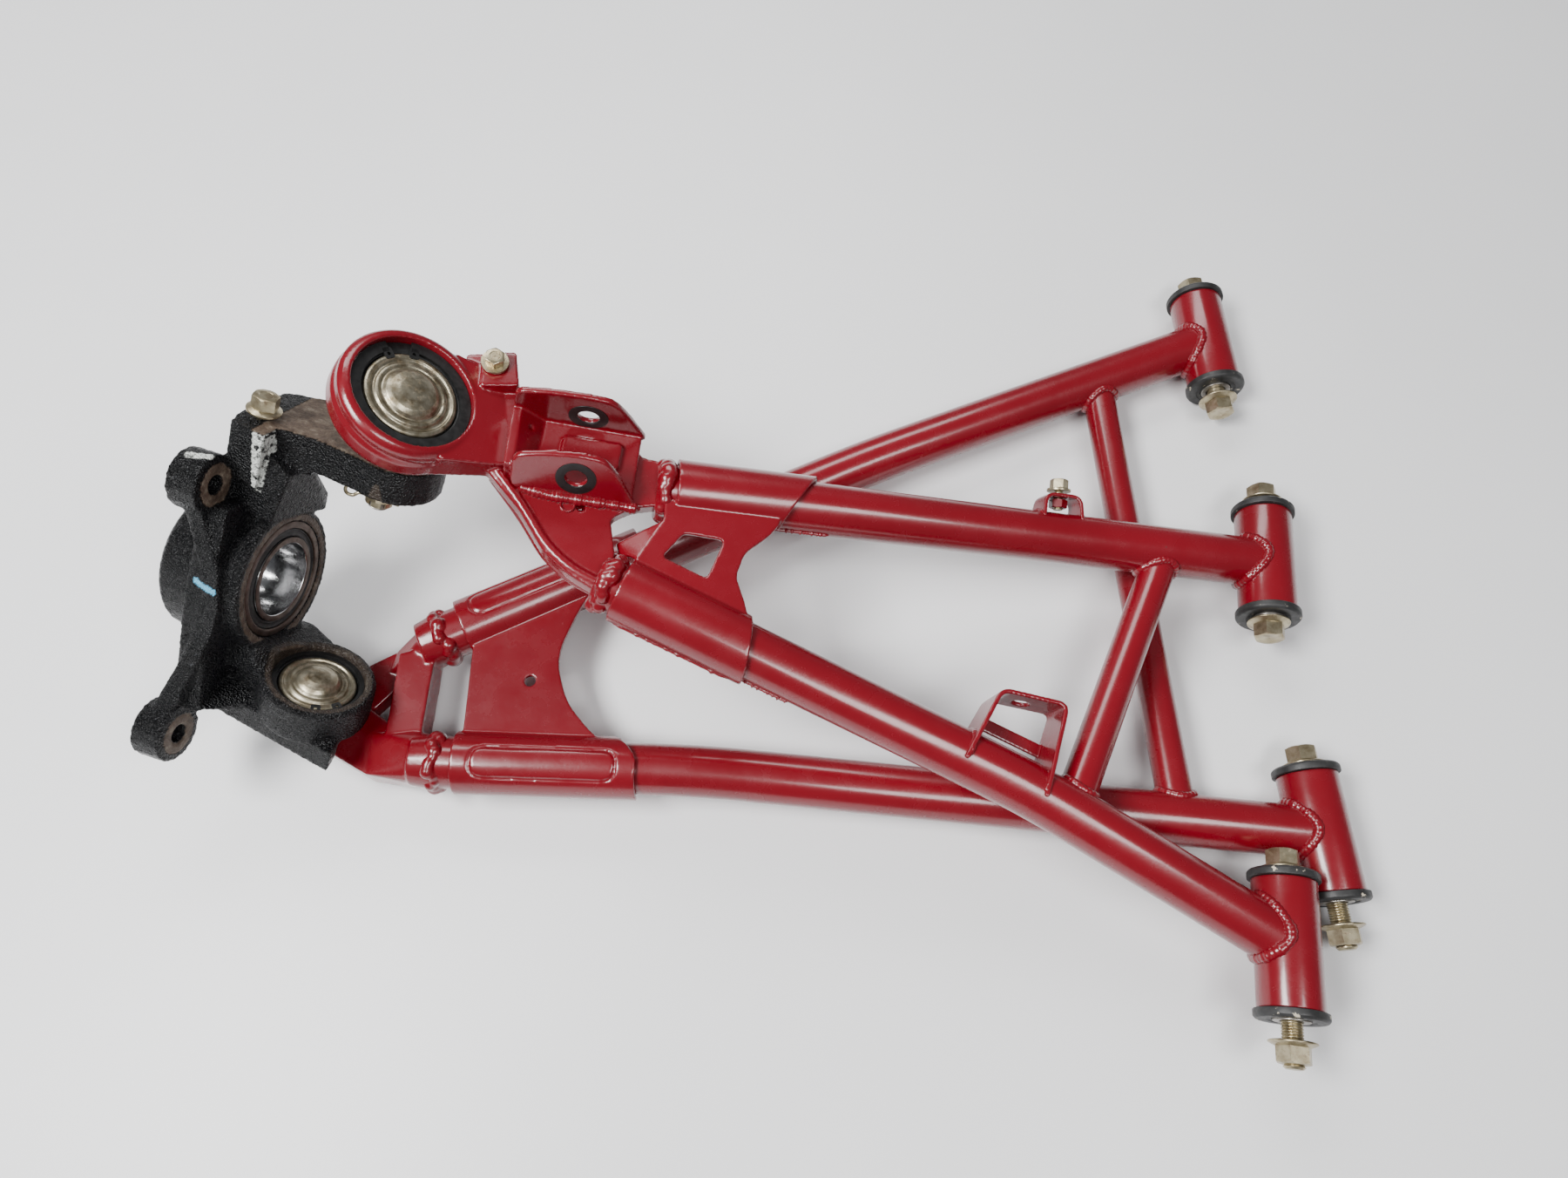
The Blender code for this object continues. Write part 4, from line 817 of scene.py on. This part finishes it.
def make_upper_head():
    """Ring, plate with a rolled edge, boss for the bolt and shelf for the clevis, as one weldment."""
    where = place(UPPER_BALL, UPPER_RING_AXIS)
    top, base = RING_TOP, RING_TOP - RING_HEIGHT
    ring = [(0, base), (RING_R - 0.0012, base), (RING_R + 0.0002, base + 0.0030),
            (RING_R + 0.0002, top - 0.0125)]
    ring += [(RING_R - inset, top - depth) for inset, depth in (
        (0.0008, 0.0105), (0.0014, 0.0088), (0.0006, 0.0070), (0.0008, 0.0035), (0.0030, 0.0008))]
    ring += [(RING_R - 0.0052, top), (0, top)]
    neck = [where @ Vector((0.020, y, z)) for y in (0.036, -0.036) for z in (base + 0.002, top - 0.0015)]
    neck += [on_head(x, y, z) for x, y in ((-0.158, 0.372), (-0.150, 0.318)) for z in (-0.006, 0.0074)]
    outline = [(-0.165, 0.374), (-0.150, 0.356), (-0.088, 0.350), (-0.086, 0.334), (-0.064, 0.331),
               (-0.066, 0.305), (-0.088, 0.300), (-0.100, 0.292), (-0.096, 0.268), (-0.104, 0.246),
               (-0.120, 0.255), (-0.135, 0.268), (-0.150, 0.292), (-0.172, 0.318)]
    plate = slab_on_head(outline, -0.003, 0.006, 0.004, 4)
    block = [(-0.187, 0.3845), (-0.1595, 0.3900), (-0.1555, 0.3650), (-0.1830, 0.3610)]
    step = [(-0.1775, 0.3845), (-0.1595, 0.3885), (-0.1560, 0.3655), (-0.1770, 0.3625)]
    shelf = [(-0.176, 0.365), (-0.156, 0.368), (-0.150, 0.318), (-0.170, 0.322)]
    plain = [lathe(ring, where, 96), hull(neck), plate, slab_on_head(block, -0.004, 0.0135, 0.002),
             slab_on_head(step, -0.004, 0.0165, 0.002), slab_on_head(shelf, 0.002, 0.0098, 0.003)]

    edge = [(-0.100, 0.250), (-0.1185, 0.2585), (-0.1335, 0.2715), (-0.1480, 0.2950), (-0.166, 0.3180)]
    drop = [on_head(p.x, p.y, 0.0) for p in fillet([(x, y, 0) for x, y in edge], 0.02, 6, closed=False)]
    faces = (Vector((-0.0018, -0.0012, 0)), Vector((0.0012, 0.0008, 0)))
    rolled = [cord([p + HEAD_UP * 0.0050 for p in drop], 0.002, 0.0030, 16),
              cord([p - HEAD_UP * 0.0085 for p in drop], 0.002, 0.0034, 16)]
    rolled += [hull([p + HEAD_UP * z + face for p in (a, b) for z in (-0.009, 0.004) for face in faces])
               for a, b in zip(drop, drop[1:])]

    crease = [(-0.1565, 0.3650, 0.0115), (-0.1560, 0.3420, 0.0105), (-0.1570, 0.3180, 0.0100)]
    bolt_at = place(on_head(-0.1705, 0.3785, 0.017), HEAD_UP)
    cutters = [rod(RING_BORE, base - 0.03, top + 0.03, where, 96), rod(0.0042, -0.1, 0.1, bolt_at, 24),
               cord([on_head(*p) for p in crease], 0.002, 0.0016, 10),
               rod(0.0024, 0.0, 0.02, place(on_head(-0.1166, 0.2972, 0.0), HEAD_UP), 20)]
    mesh = fuse([cut(shape, cutters) for shape in plain] + rolled, 0.0008, 6)
    weldment("upper_head", mesh, "upper_arm")
    shapes = [rod(0.0038, -0.0140, 0.0015, bolt_at, 24), rod(0.0080, 0.0003, 0.0019, bolt_at, 40, 0.0003),
              hex_head(0.010, 0.0015, 0.0075, bolt_at)]
    fastener("upper_head_bolt", shapes, "upper_arm")
    plug = lathe([(0.0030, 0.0), (0.0046, 0.0), (0.0044, 0.0011), (0.0034, 0.0011)],
                 place(on_head(-0.1240, 0.2972, 0.0060), HEAD_UP), 32, 0.0004)
    add("plug_weld", plug, "upper_arm", "paint")


CLEVIS_BASE, FAR_EAR_Y, NEAR_EAR_Y = 0.0070, 0.3470, 0.3060
FAR_EAR = [(-0.1580, CLEVIS_BASE), (-0.0825, CLEVIS_BASE), (-0.0850, 0.0120), (-0.0950, 0.0290),
           (-0.1030, 0.0405), (-0.1180, 0.0415), (-0.1370, 0.0400), (-0.1570, 0.0360)]
NEAR_EAR = [(-0.1560, CLEVIS_BASE), (-0.0870, CLEVIS_BASE), (-0.0890, 0.0110), (-0.0980, 0.0265),
            (-0.1060, 0.0360), (-0.1200, 0.0370), (-0.1400, 0.0345), (-0.1550, 0.0300)]
NEAR_LEAN, EAR_THICK, EAR_SLANT = 0.34, 0.0038, 0.07


def ear_y(x, lift, y_in, lean):
    """Where an ear's inner face stands: it runs slightly askew and leans outwards with height."""
    return y_in - EAR_SLANT * (x + 0.12) + lean * (lift - 0.0082)


def ear_shape(ear, y_in, side, lean):
    """One clevis ear: a plate standing on the head, rounded over the pin and sloping down to the tube."""
    smooth = fillet(ear, 0.006, 5)
    inner, outer = [[on_head(p.x, ear_y(p.x, p.y, y_in, lean) + thick, p.y) for p in smooth]
                    for thick in (0.0, EAR_THICK * side)]
    return bridge(inner, outer)


SHOCK_PIN = (spot(-0.1117, 0.3477, 0.1500), spot(-0.1159, 0.3089, 0.1500))


def make_clevis():
    """Shock mount: a pressed floor between two ears, with bare rings where the shock's washers sat."""
    floor = [(-0.1530, 0.3530), (-0.0850, 0.3480), (-0.0890, 0.3050), (-0.1565, 0.3100)]
    raised = [(-0.1290, 0.3390), (-0.0960, 0.3370), (-0.0980, 0.3190), (-0.1310, 0.3210)]
    feet = ((-0.158, 0.349), (-0.153, 0.349), (-0.160, 0.312), (-0.155, 0.312))
    ramp = [(x, y, z) for x, y in feet for z in (0.004, 0.0205)]
    ramp += [(-0.140, 0.347, 0.0105), (-0.144, 0.311, 0.0105)]
    shapes = [slab_on_head(floor, 0.0060, 0.0105), slab_on_head(raised, 0.0090, 0.0135, 0.003, 4),
              hull([on_head(*p) for p in ramp]), ear_shape(FAR_EAR, FAR_EAR_Y, 1, 0.0),
              ear_shape(NEAR_EAR, NEAR_EAR_Y, -1, NEAR_LEAN)]
    groove = ((-0.1480, 0.3400), (-0.1440, 0.3385), (-0.1440, 0.3200), (-0.1480, 0.3190))
    slot = cord([on_head(x, y, 0.0160) for x, y in groove], 0.0015, 0.0018, 10)
    hole = rod(0.0062, -0.2, 0.2, place(SHOCK_PIN[0], SHOCK_PIN[0] - SHOCK_PIN[1]), 40)
    weldment("shock_clevis", fuse(shapes, 0.0008, 5, [hole, slot]), "upper_arm")
    axis = (SHOCK_PIN[0] - SHOCK_PIN[1]).normalized()
    for label, y_in, side, lean in (("far", FAR_EAR_Y, 0, 0.0), ("near", NEAR_EAR_Y, -1, NEAR_LEAN)):
        point, right, top = [on_head(x, ear_y(x, z, y_in, lean) + EAR_THICK * side, z)
                             for x, z in ((-0.115, 0.022), (-0.105, 0.022), (-0.115, 0.032))]
        flat = (right - point).cross(top - point).normalized()
        flat = -flat if flat.y > 0 else flat
        centre = SHOCK_PIN[0] + axis * ((point - SHOCK_PIN[0]).dot(flat) / axis.dot(flat))
        ring = lathe(washer(0.0064, 0.0114, -0.0006, 0.00035), place(centre, flat), 48, 0.0001)
        add("clevis_bare_ring_" + label, ring, "upper_arm", "primer")
    near = ((-0.152, 0.3060), (-0.134, 0.3020), (-0.116, 0.3010), (-0.098, 0.3000), (-0.084, 0.2990))
    far = ((-0.156, 0.3555), (-0.120, 0.3530), (-0.0900, 0.3510))
    for label, foot, radius, seed in (("near", near, 0.0034, 41), ("far", far, 0.0024, 42)):
        seam = [on_head(x, y, 0.0066) for x, y in foot]
        weld_bead(f"clevis_{label}_weld", seam, "upper_arm", radius, closed=False, seed=seed)


def weld_collar(name, point, axis, body, seed, radius=TUBE_R, lump=0.0041):
    """A hand-laid fillet weld round a tube end: overlapping blobs of uneven size melted into one skin."""
    rng = random.Random(seed)
    core = circle(point - axis * 0.007, axis, radius) + circle(point + axis * 0.006, axis, radius - 0.002)
    shapes = [hull(core)]
    where = place(point, axis, (0, 0, 1))
    angle = 0.0
    while angle < 360.0:
        size = lump * rng.uniform(0.8, 1.4)
        a, shift = math.radians(angle), rng.uniform(-0.0022, 0.0022)
        blob = bmesh.new()
        centre = where @ Vector(((radius - 0.0012) * math.cos(a), (radius - 0.0012) * math.sin(a), shift))
        bmesh.ops.create_icosphere(blob, subdivisions=2, radius=size, matrix=Matrix.Translation(centre))
        shapes.append(blob)
        angle += rng.uniform(7.0, 17.0)
    return add(name, fuse(shapes, 0.0007, 16), body, "paint", sharp=60)


def make_head_welds():
    weld_collar("upper_rear_head_weld", UPPER_REAR_PATH[1], UPPER_REAR_LEG, "upper_arm", 51)
    weld_collar("upper_front_head_weld", UPPER_FRONT_PATH[2], UPPER_FRONT_LEG, "upper_arm", 52)


# ---------------------------------------------------------------- hose brackets
def bracket_place(path, along, lean):
    leg = (path[1] - path[0]).normalized()
    side = leg.cross(Vector((0, 0, 1))).normalized()
    side = -side if side.y < 0 else side
    up = side.cross(leg)
    out = side * math.cos(math.radians(lean)) + up * math.sin(math.radians(lean))
    return place(path[0] + leg * along, out, -leg)


def strip(where, line, thick, shallow, deep, crown):
    """Bent strip: an (x, z) centre line with thickness, deeper at its feet than at its crown height."""
    line = fillet(line, 0.006, 8, closed=False)
    count, outer, inner = len(line), [], []
    for i, point in enumerate(line):
        along = (line[min(i + 1, count - 1)] - line[max(i - 1, 0)]).normalized()
        across = Vector((-along.y, along.x))
        outer.append(point + across * thick / 2)
        inner.append(point - across * thick / 2)
    ring = outer + inner[::-1]
    verts = []
    for end in (0, 1):
        for point in ring:
            rise = min(1.0, max(0.0, point.y / crown))
            depth = shallow - 0.0025 * rise if end == 0 else deep * (1.0 - 0.45 * rise)
            verts.append((point.x, -depth, point.y))
    total = len(ring)
    faces = [[i, (i + 1) % total, total + (i + 1) % total, total + i] for i in range(total)]
    for base in (0, total):
        last = base + total - 1
        faces += [[base + i, base + i + 1, last - 1 - i, last - i] for i in range(count - 1)]
    return solid(verts, faces, where)


def make_bracket(name, path, shapes, hole, voxel, smooth):
    """Melt a bracket's strips together, drill it, and keep it clear of its tube's bore."""
    clear = strand(path[-2:], TUBE_R - 0.0005, 48)
    weldment(name, fuse(shapes, voxel, smooth, [hole, clear]), "upper_arm")


def make_brackets():
    """Two hose brackets: a tall one with a tie across it, and a small one with its bolt and welded nut."""
    where = bracket_place(UPPER_FRONT_PATH[1:], 0.0215, 0.0)
    line = [(-0.0252, -0.0050), (-0.0195, 0.0415), (0.0192, 0.0508), (0.0245, -0.0050)]
    band = strip(where, line, thick=0.0026, shallow=0.0178, deep=-0.0190, crown=0.050)
    outline = [(-0.0230, 0.0220), (0.0215, 0.0220), (0.0205, 0.0300), (-0.0220, 0.0300)]
    tie = prism(outline, -0.0110, -0.0085, where @ Matrix.Rotation(math.radians(90), 4, "X"))
    hole = rod(0.0050, 0.03, 0.06, where @ Matrix.Translation((-0.003, 0.0, 0)), 32)
    make_bracket("hose_bracket_large", UPPER_FRONT_PATH, [band, tie], hole, 0.0006, 4)
    angles = [math.radians(a) for a in (105, 85, 60, 30, 0, -35)]
    for k, x in enumerate((-0.0240, 0.0235)):
        seam = [where @ Vector((x, -TUBE_R * math.sin(a), TUBE_R * math.cos(a))) for a in angles]
        weld_bead(f"large_bracket_weld_{k}", seam, "upper_arm", 0.0019, closed=False, seed=61 + k)

    where = bracket_place(UPPER_REAR_PATH, 0.1477, 17.6)
    line = [(-0.0132, 0.0050), (-0.0115, 0.0260), (0.0115, 0.0260), (0.0132, 0.0050)]
    band = strip(where, line, thick=0.0022, shallow=0.0118, deep=-0.0130, crown=0.026)
    make_bracket("hose_bracket_small", UPPER_REAR_PATH, [band], rod(0.0034, 0.0, 0.06, where, 24), 0.0005,
                 3)
    flange = [(0, 0.0298), (0.0075, 0.0298), (0.0075, 0.0312), (0.0050, 0.0320), (0, 0.0320)]
    shapes = [thread(0.0030, 0.0180, 0.0312, where), lathe(flange, where, 40, 0.0002),
              hex_head(0.010, 0.0312, 0.0375, where)]
    fastener("small_bracket_bolt", shapes, "upper_arm")
    nut = hex_head(0.010, 0.0190, 0.0245, where, 0.0034, both_ends=True)
    skin("small_bracket_nut", nut, "upper_arm", "paint", sharp=32)
    for k, x in enumerate((-0.0135, 0.0135)):
        seam = [where @ Vector((x, -y, math.sqrt(TUBE_R ** 2 - y * y))) for y in (0.010, 0.005, 0.0,
                                                                                  -0.006)]
        weld_bead(f"small_bracket_weld_{k}", seam, "upper_arm", 0.0016, closed=False, seed=71 + k)


# ---------------------------------------------------------------- ball joints
def cap_profile(radius, rim, height):
    """Stepped, domed pressing over a ball joint."""
    return [(0, rim - 0.003), (radius, rim - 0.003), (radius, rim + 0.0006),
            (radius - 0.0012, rim + 0.0014), (radius * 0.90, rim + 0.0015), (radius * 0.86, rim + 0.0004),
            (radius * 0.80, rim + 0.0002), (radius * 0.76, rim + 0.0016), (radius * 0.70, rim + 0.0019),
            (radius * 0.66, rim + 0.0012), (radius * 0.62, rim + 0.0014), (radius * 0.57, rim + 0.0034),
            (radius * 0.48, rim + height * 0.74), (radius * 0.30, rim + height * 0.93),
            (radius * 0.12, rim + height), (0, rim + height)]


def make_ball_joint(name, ball, ring_axis, stud_axis, can_r, cap_r, top, stud_length, nut_at, ears, bodies):
    """Can, domed cap, circlip, ball stud and boot; `ears` is the angle of the circlip's open side."""
    where, down = place(ball, ring_axis), place(ball, -stud_axis)
    can_body, stud_body, boot_body = bodies
    rim, low, ball_r = top - 0.0060, -0.0080, 0.0150
    mouth = math.sqrt((ball_r + 0.001) ** 2 - low ** 2)
    can = [(0, rim - 0.0042), (mouth * 0.92, 0.0090), (ball_r + 0.001, 0.0), (mouth, low),
           (can_r - 0.003, low), (can_r - GAP, low + 0.003), (can_r - GAP, rim),
           (cap_r + 0.0035, rim + 0.0002), (cap_r + 0.0008, rim - 0.0004), (cap_r + 0.0006, rim - 0.0036),
           (0, rim - 0.0036)]
    add(name + "_joint_can", lathe(can, where, 72, 0.0003), can_body, "primer", [name + "_joint_body"])
    add(name + "_joint_cap", lathe(cap_profile(cap_r, rim, 0.0070), where, 72, 0.0005), can_body, "cap",
        sharp=70)
    clip, ear_gap, thick = [], 26, 0.0016
    inner, outer, clip_at = cap_r + 0.0016, can_r - GAP, rim + 0.0004
    for radius, sweep_way in ((outer, 1), (inner, -1)):
        a, b = ears + ear_gap / 2, ears - ear_gap / 2 + 360
        clip += arc(0, 0, radius, a if sweep_way > 0 else b, b if sweep_way > 0 else a, 60)
    shapes = [prism(clip, clip_at, clip_at + thick, where)]
    holes = []
    for side in (-1, 1):
        angle = math.radians(ears + side * (ear_gap / 2 + 3.2))
        spot_xy = Vector((math.cos(angle), math.sin(angle), 0))
        centre = spot_xy * (inner - 0.0016)
        lug = place(where @ centre, ring_axis, (where.to_3x3() @ spot_xy))
        outline = fillet(rectangle(-0.0028, 0.0040, -0.0027, 0.0027), 0.0012, 3)
        shapes.append(prism(outline, clip_at, clip_at + thick, lug))
        holes.append(rod(0.0011, 0.0, 0.05, lug, 20))
    skin(name + "_circlip", merge([cut(s, holes) for s in shapes]), can_body, "primer", slot="steel")
    neck = 0.0068
    turn = [(0, -ball_r)] + [(ball_r * math.cos(math.radians(a)), ball_r * math.sin(math.radians(a)))
                             for a in range(-80, 61, 10)]
    turn += [(neck, 0.0150), (neck, 0.0220), (0.0080, 0.0240), (0.0075, nut_at - 0.002),
             (0.0060, nut_at - 0.001)]
    height = nut_at
    while height < stud_length - 0.002:
        turn += [(0.0060, height), (0.0060, height + 0.0003), (0.0054, height + 0.0007)]
        height += 0.00125
    turn += [(0.0060, stud_length - 0.0008), (0.0052, stud_length), (0, stud_length)]
    skin(name + "_ball_stud", lathe(turn, down, 40), stud_body, "steel", sharp=50)
    boot = [(neck + GAP, 0.0162), (0.0100, 0.0163), (0.0128, 0.0172), (0.0137, 0.0184), (0.0122, 0.0194),
            (0.0124, 0.0200), (0.0143, 0.0208), (0.0145, 0.0216), (0.0130, 0.0219), (neck + GAP, 0.0219)]
    skin(name + "_boot", lathe(boot, down, 48, 0.0004), boot_body, "rubber")
    return down


def make_ball_joints():
    down = make_ball_joint("upper", UPPER_BALL, UPPER_RING_AXIS, UPPER_STUD_AXIS, can_r=RING_BORE,
                           cap_r=0.0260, top=RING_TOP, stud_length=0.0660, nut_at=0.0500, ears=112,
                           bodies=("upper_arm", "steering_knuckle", "upper_swivel"))
    slots = [prism(rectangle(-0.03, 0.03, -0.0015, 0.0015), 0.0595, 0.08,
                   down @ Matrix.Rotation(math.radians(60 * k), 4, "Z")) for k in range(3)]
    crown = [(0.0063, 0.0575), (0.0082, 0.0575), (0.0082, 0.0628), (0.0078, 0.0632), (0.0063, 0.0632)]
    shapes = [hex_head(0.0190, 0.0468, 0.0588, down, 0.0063, True), cut(lathe(crown, down, 48), slots)]
    fastener("upper_castle_nut", shapes, "steering_knuckle")
    pin = down @ Matrix.Translation((0, 0, 0.0612))
    route = [(0.0115, 0, 0), (-0.0125, 0, 0), (-0.0150, 0, 0.0036), (-0.0190, 0, 0.0034),
             (-0.0205, 0, 0.0002), (-0.0188, 0, -0.0030), (-0.0150, 0, -0.0026)]
    line = resample(fillet([pin @ Vector(p) for p in route], 0.003, 5, closed=False), 0.0007, False)
    skin("upper_cotter_pin", strand(line, 0.0011, 12), "steering_knuckle", "zinc")
    down = make_ball_joint("lower", LOWER_BALL, LOWER_RING_AXIS, LOWER_STUD_AXIS, can_r=0.0265,
                           cap_r=0.0220, top=0.0190, stud_length=0.0455, nut_at=0.0370, ears=-60,
                           bodies=("steering_knuckle", "lower_arm", "lower_swivel"))
    fastener("lower_stud_nut", [hex_head(0.0190, 0.0380, 0.0440, down, 0.0063, True)], "lower_arm")


# ---------------------------------------------------------------- knuckle and bearing
def hub_point(w, k, n):
    return HUB + WHEEL_AXIS * w + STEER * k + SIDE * n


def hub_place(w=0.0, k=0.0, n=0.0):
    return place(hub_point(w, k, n), WHEEL_AXIS, STEER)


def segment_distance(point, start, end):
    leg = end - start
    t = max(0.0, min(1.0, (point - start).dot(leg) / leg.length_squared))
    return (point - start - leg * t).length


SLAB = place(UPPER_BALL, UPPER_STUD_AXIS, WHEEL_AXIS)
LOWER_BOSS = place(LOWER_BALL, LOWER_RING_AXIS, WHEEL_AXIS)
CALIPER_EARS = ((0.0580, 0.0440), (-0.0925, 0.0460))
EAR_FACE, EAR_R = 0.022, 0.0125
MARKS = ("bare", "chalk", "crayon")
BLUE_STROKE = (hub_point(0.0225, 0.0032, 0.0490), hub_point(0.0105, -0.0002, 0.0502))


def mark_knuckle(mesh):
    """Per-vertex masks: machined rusty faces, and the chalk strokes left by a dismantler."""
    bare, chalk, crayon = [mesh.attributes.new(mark, "FLOAT", "POINT") for mark in MARKS]
    to_slab, to_boss = SLAB.inverted(), LOWER_BOSS.inverted()
    ears = [hub_point(EAR_FACE, k, n) for k, n in CALIPER_EARS]
    ear_chalk = [ears[0] + WHEEL_AXIS * w + STEER * k + SIDE * n
                 for w, k, n in ((0.002, 0.0175, 0.006), (0.012, 0.0165, 0.010))]
    for vert in mesh.vertices:
        value, local = 0.0, to_slab @ vert.co
        upward, outward = vert.normal.dot(UPPER_STUD_AXIS), vert.normal.dot(WHEEL_AXIS)
        if upward > 0.80 and -0.029 < local.z < -0.020 and local.x < 0.058:
            value = 1.0
        if outward < -0.7 and any((vert.co - ear).length < EAR_R for ear in ears):
            value = 1.0
        near = vert.co - HUB
        along = near.dot(WHEEL_AXIS)
        if along < 0.002 and (near - WHEEL_AXIS * along).length < 0.0410 and outward < -0.7:
            value = 0.8
        lower = to_boss @ vert.co
        if lower.z > 0.013 and math.hypot(lower.x, lower.y) < 0.030:
            value = max(value, 0.35)
        bare.data[vert.index].value = value
        paint_x = 0.052 + 0.10 * (local.z + 0.04)
        on_side = upward < 0.6 and -0.062 < local.z < -0.024
        width = 0.0022 + 0.04 * max(0.0, local.z + 0.060) if local.z < -0.024 else 0.0
        stroke = 0.9 if on_side and local.y > 0.0 and abs(local.x - paint_x) < min(width, 0.0032) else 0.0
        if segment_distance(vert.co, *ear_chalk) < 0.0030:
            stroke = 1.0
        chalk.data[vert.index].value = stroke
        crayon.data[vert.index].value = 1.0 if segment_distance(vert.co, *BLUE_STROKE) < 0.0016 else 0.0


WEBS = (((0.050, 0.024), (0.046, 0.046), (-0.010, 0.050), (-0.010, 0.024)),
        ((-0.010, 0.020), (-0.010, 0.050), (-0.076, 0.046), (-0.062, 0.012)))


def make_knuckle():
    """The CAD casting with fuller webs, softened edges and a sandy skin; then its clamp bolt."""
    node = frame["nodes"]["knuckle"].data.copy()
    webs = [hull([hub_point(w, k, n) for k, n in corners for w in (0.012, 0.028)]) for corners in WEBS]
    boss_web = [hub_point(w, k, n) for k, n in ((-0.050, 0.010), (-0.074, 0.044)) for w in (0.010, 0.026)]
    boss_web += [LOWER_BOSS @ Vector((x, y, z)) for x, y in ((0.042, 0.014), (0.020, 0.010))
                 for z in (-0.016, -0.003)]
    webs.append(hull(boss_web))
    for k, n in CALIPER_EARS:
        webs.append(lathe([(0.0062, 0.002), (EAR_R, 0.002), (0.0120, -0.0006), (0.0066, -0.0006)],
                          hub_place(EAR_FACE, k, n), 40))
    shave = prism(rectangle(-0.045, 0.030, -0.05, 0.05), -0.0600, -0.0462, SLAB)
    mesh = fuse([cut(node, [shave]), *webs], 0.0010, 6)
    mark_knuckle(mesh)
    bare = [mark.value for mark in mesh.attributes["bare"].data]
    gritty = []
    for vert, clean in zip(mesh.vertices, bare):
        grit = noise.noise(vert.co * 430) * 0.00026 + noise.noise(vert.co * 900) * 0.00016
        gritty.extend(vert.co + vert.normal * grit * (1.0 - 0.9 * clean))
    mesh.vertices.foreach_set("co", gritty)
    skin("knuckle", mesh, "steering_knuckle", "cast", sharp=70)
    where = place(SLAB @ Vector((0.063, 0.028, 0)), UPPER_STUD_AXIS)
    flange = [(0, -0.0225), (0.0095, -0.0225), (0.0095, -0.0212), (0.0068, -0.0200), (0, -0.0200)]
    shapes = [rod(0.0043, -0.0590, -0.0180, where, 32), lathe(flange, where, 48, 0.0003),
              hex_head(0.0130, -0.0205, -0.0125, where)]
    fastener("clamp_bolt", shapes, "steering_knuckle")


def make_bearing():
    hub = hub_place()
    outer = [(0.0315, 0.0006), (0.0359, 0.0006), (0.0359, 0.0350), (0.0315, 0.0350), (0.0305, 0.0180)]
    skin("bearing_outer_ring", lathe(outer, hub, 96, 0.0008), "steering_knuckle", "rust")
    inner = [(0.0225, 0.0004), (0.0262, 0.0004), (0.0262, 0.0160), (0.0258, 0.0180), (0.0262, 0.0200),
             (0.0262, 0.0350), (0.0225, 0.0350)]
    skin("bearing_inner_ring", lathe(inner, hub, 96, 0.0008), "bearing_inner", "ground")
    face = washer(0.0229, 0.0262, 0.0001, 0.0008)
    add("bearing_inner_face", lathe(face, hub, 96, 0.0001), "bearing_inner", "rust", slot="steel")
    cage = washer(0.0268, 0.0301, 0.0080, 0.0280)
    add("bearing_cage_skin", lathe(cage, hub, 64, 0.0004), "bearing_cage", "steel",
        ["bearing_cage_and_balls"])
    seal = [(0.0266, 0.0016), (0.0275, 0.0012), (0.0285, 0.0020), (0.0298, 0.0020), (0.0304, 0.0012),
            (0.0311, 0.0014), (0.0311, 0.0040), (0.0266, 0.0040)]
    skin("bearing_seal", lathe(seal, hub, 96, 0.0002), "steering_knuckle", "rubber")


# ---------------------------------------------------------------- set
LAMPS = {"key": ((-0.95, -0.30, 1.55), (0.9, 0.5), 54),      # place, size, power
         "fill": ((0.55, -0.75, 1.75), (1.2, 0.4), 24),
         "back": ((-0.30, 1.30, 1.40), (1.4, 0.5), 18)}
CAMERA_HEIGHT, CAMERA_TILT, LENS, SENSOR = 0.702, 23.45, 25.86, 36.0


def make_set():
    slab = prism(rectangle(-3, 3, -3, 3), -0.02, -0.0002)
    floor = bpy.data.objects.new("floor", to_mesh(slab, "floor"))
    floor.data.materials.append(floor_look())
    bpy.context.scene.collection.objects.link(floor)
    world = bpy.data.worlds.new("soft")
    world.use_nodes = True
    world.node_tree.nodes["Background"].inputs["Color"].default_value = (0.93, 0.95, 1.0, 1)
    world.node_tree.nodes["Background"].inputs["Strength"].default_value = 0.16
    bpy.context.scene.world = world
    for name, (spot_at, size, power) in LAMPS.items():
        lamp = bpy.data.lights.new(name, "AREA")
        lamp.shape, lamp.size, lamp.size_y, lamp.energy = "RECTANGLE", size[0], size[1], power
        item = bpy.data.objects.new(name, lamp)
        item.location = spot_at
        item.rotation_euler = (-Vector(spot_at)).to_track_quat("-Z", "Y").to_euler()
        bpy.context.scene.collection.objects.link(item)
    camera = bpy.data.objects.new("camera", bpy.data.cameras.new("camera"))
    camera.data.sensor_width, camera.data.lens = SENSOR, LENS
    camera.location = DATUM + Vector((0.0, 0.0, CAMERA_HEIGHT))
    camera.rotation_euler = (math.radians(CAMERA_TILT), 0.0, 0.0)
    bpy.context.scene.collection.objects.link(camera)
    bpy.context.scene.camera = camera


make_set()
for pivot in PIVOTS:
    make_pivot(pivot)
make_tubes()
make_lower_gusset()
make_lower_head()
make_upper_gusset()
make_upper_head()
make_clevis()
make_head_welds()
make_brackets()
make_ball_joints()
make_knuckle()
make_bearing()
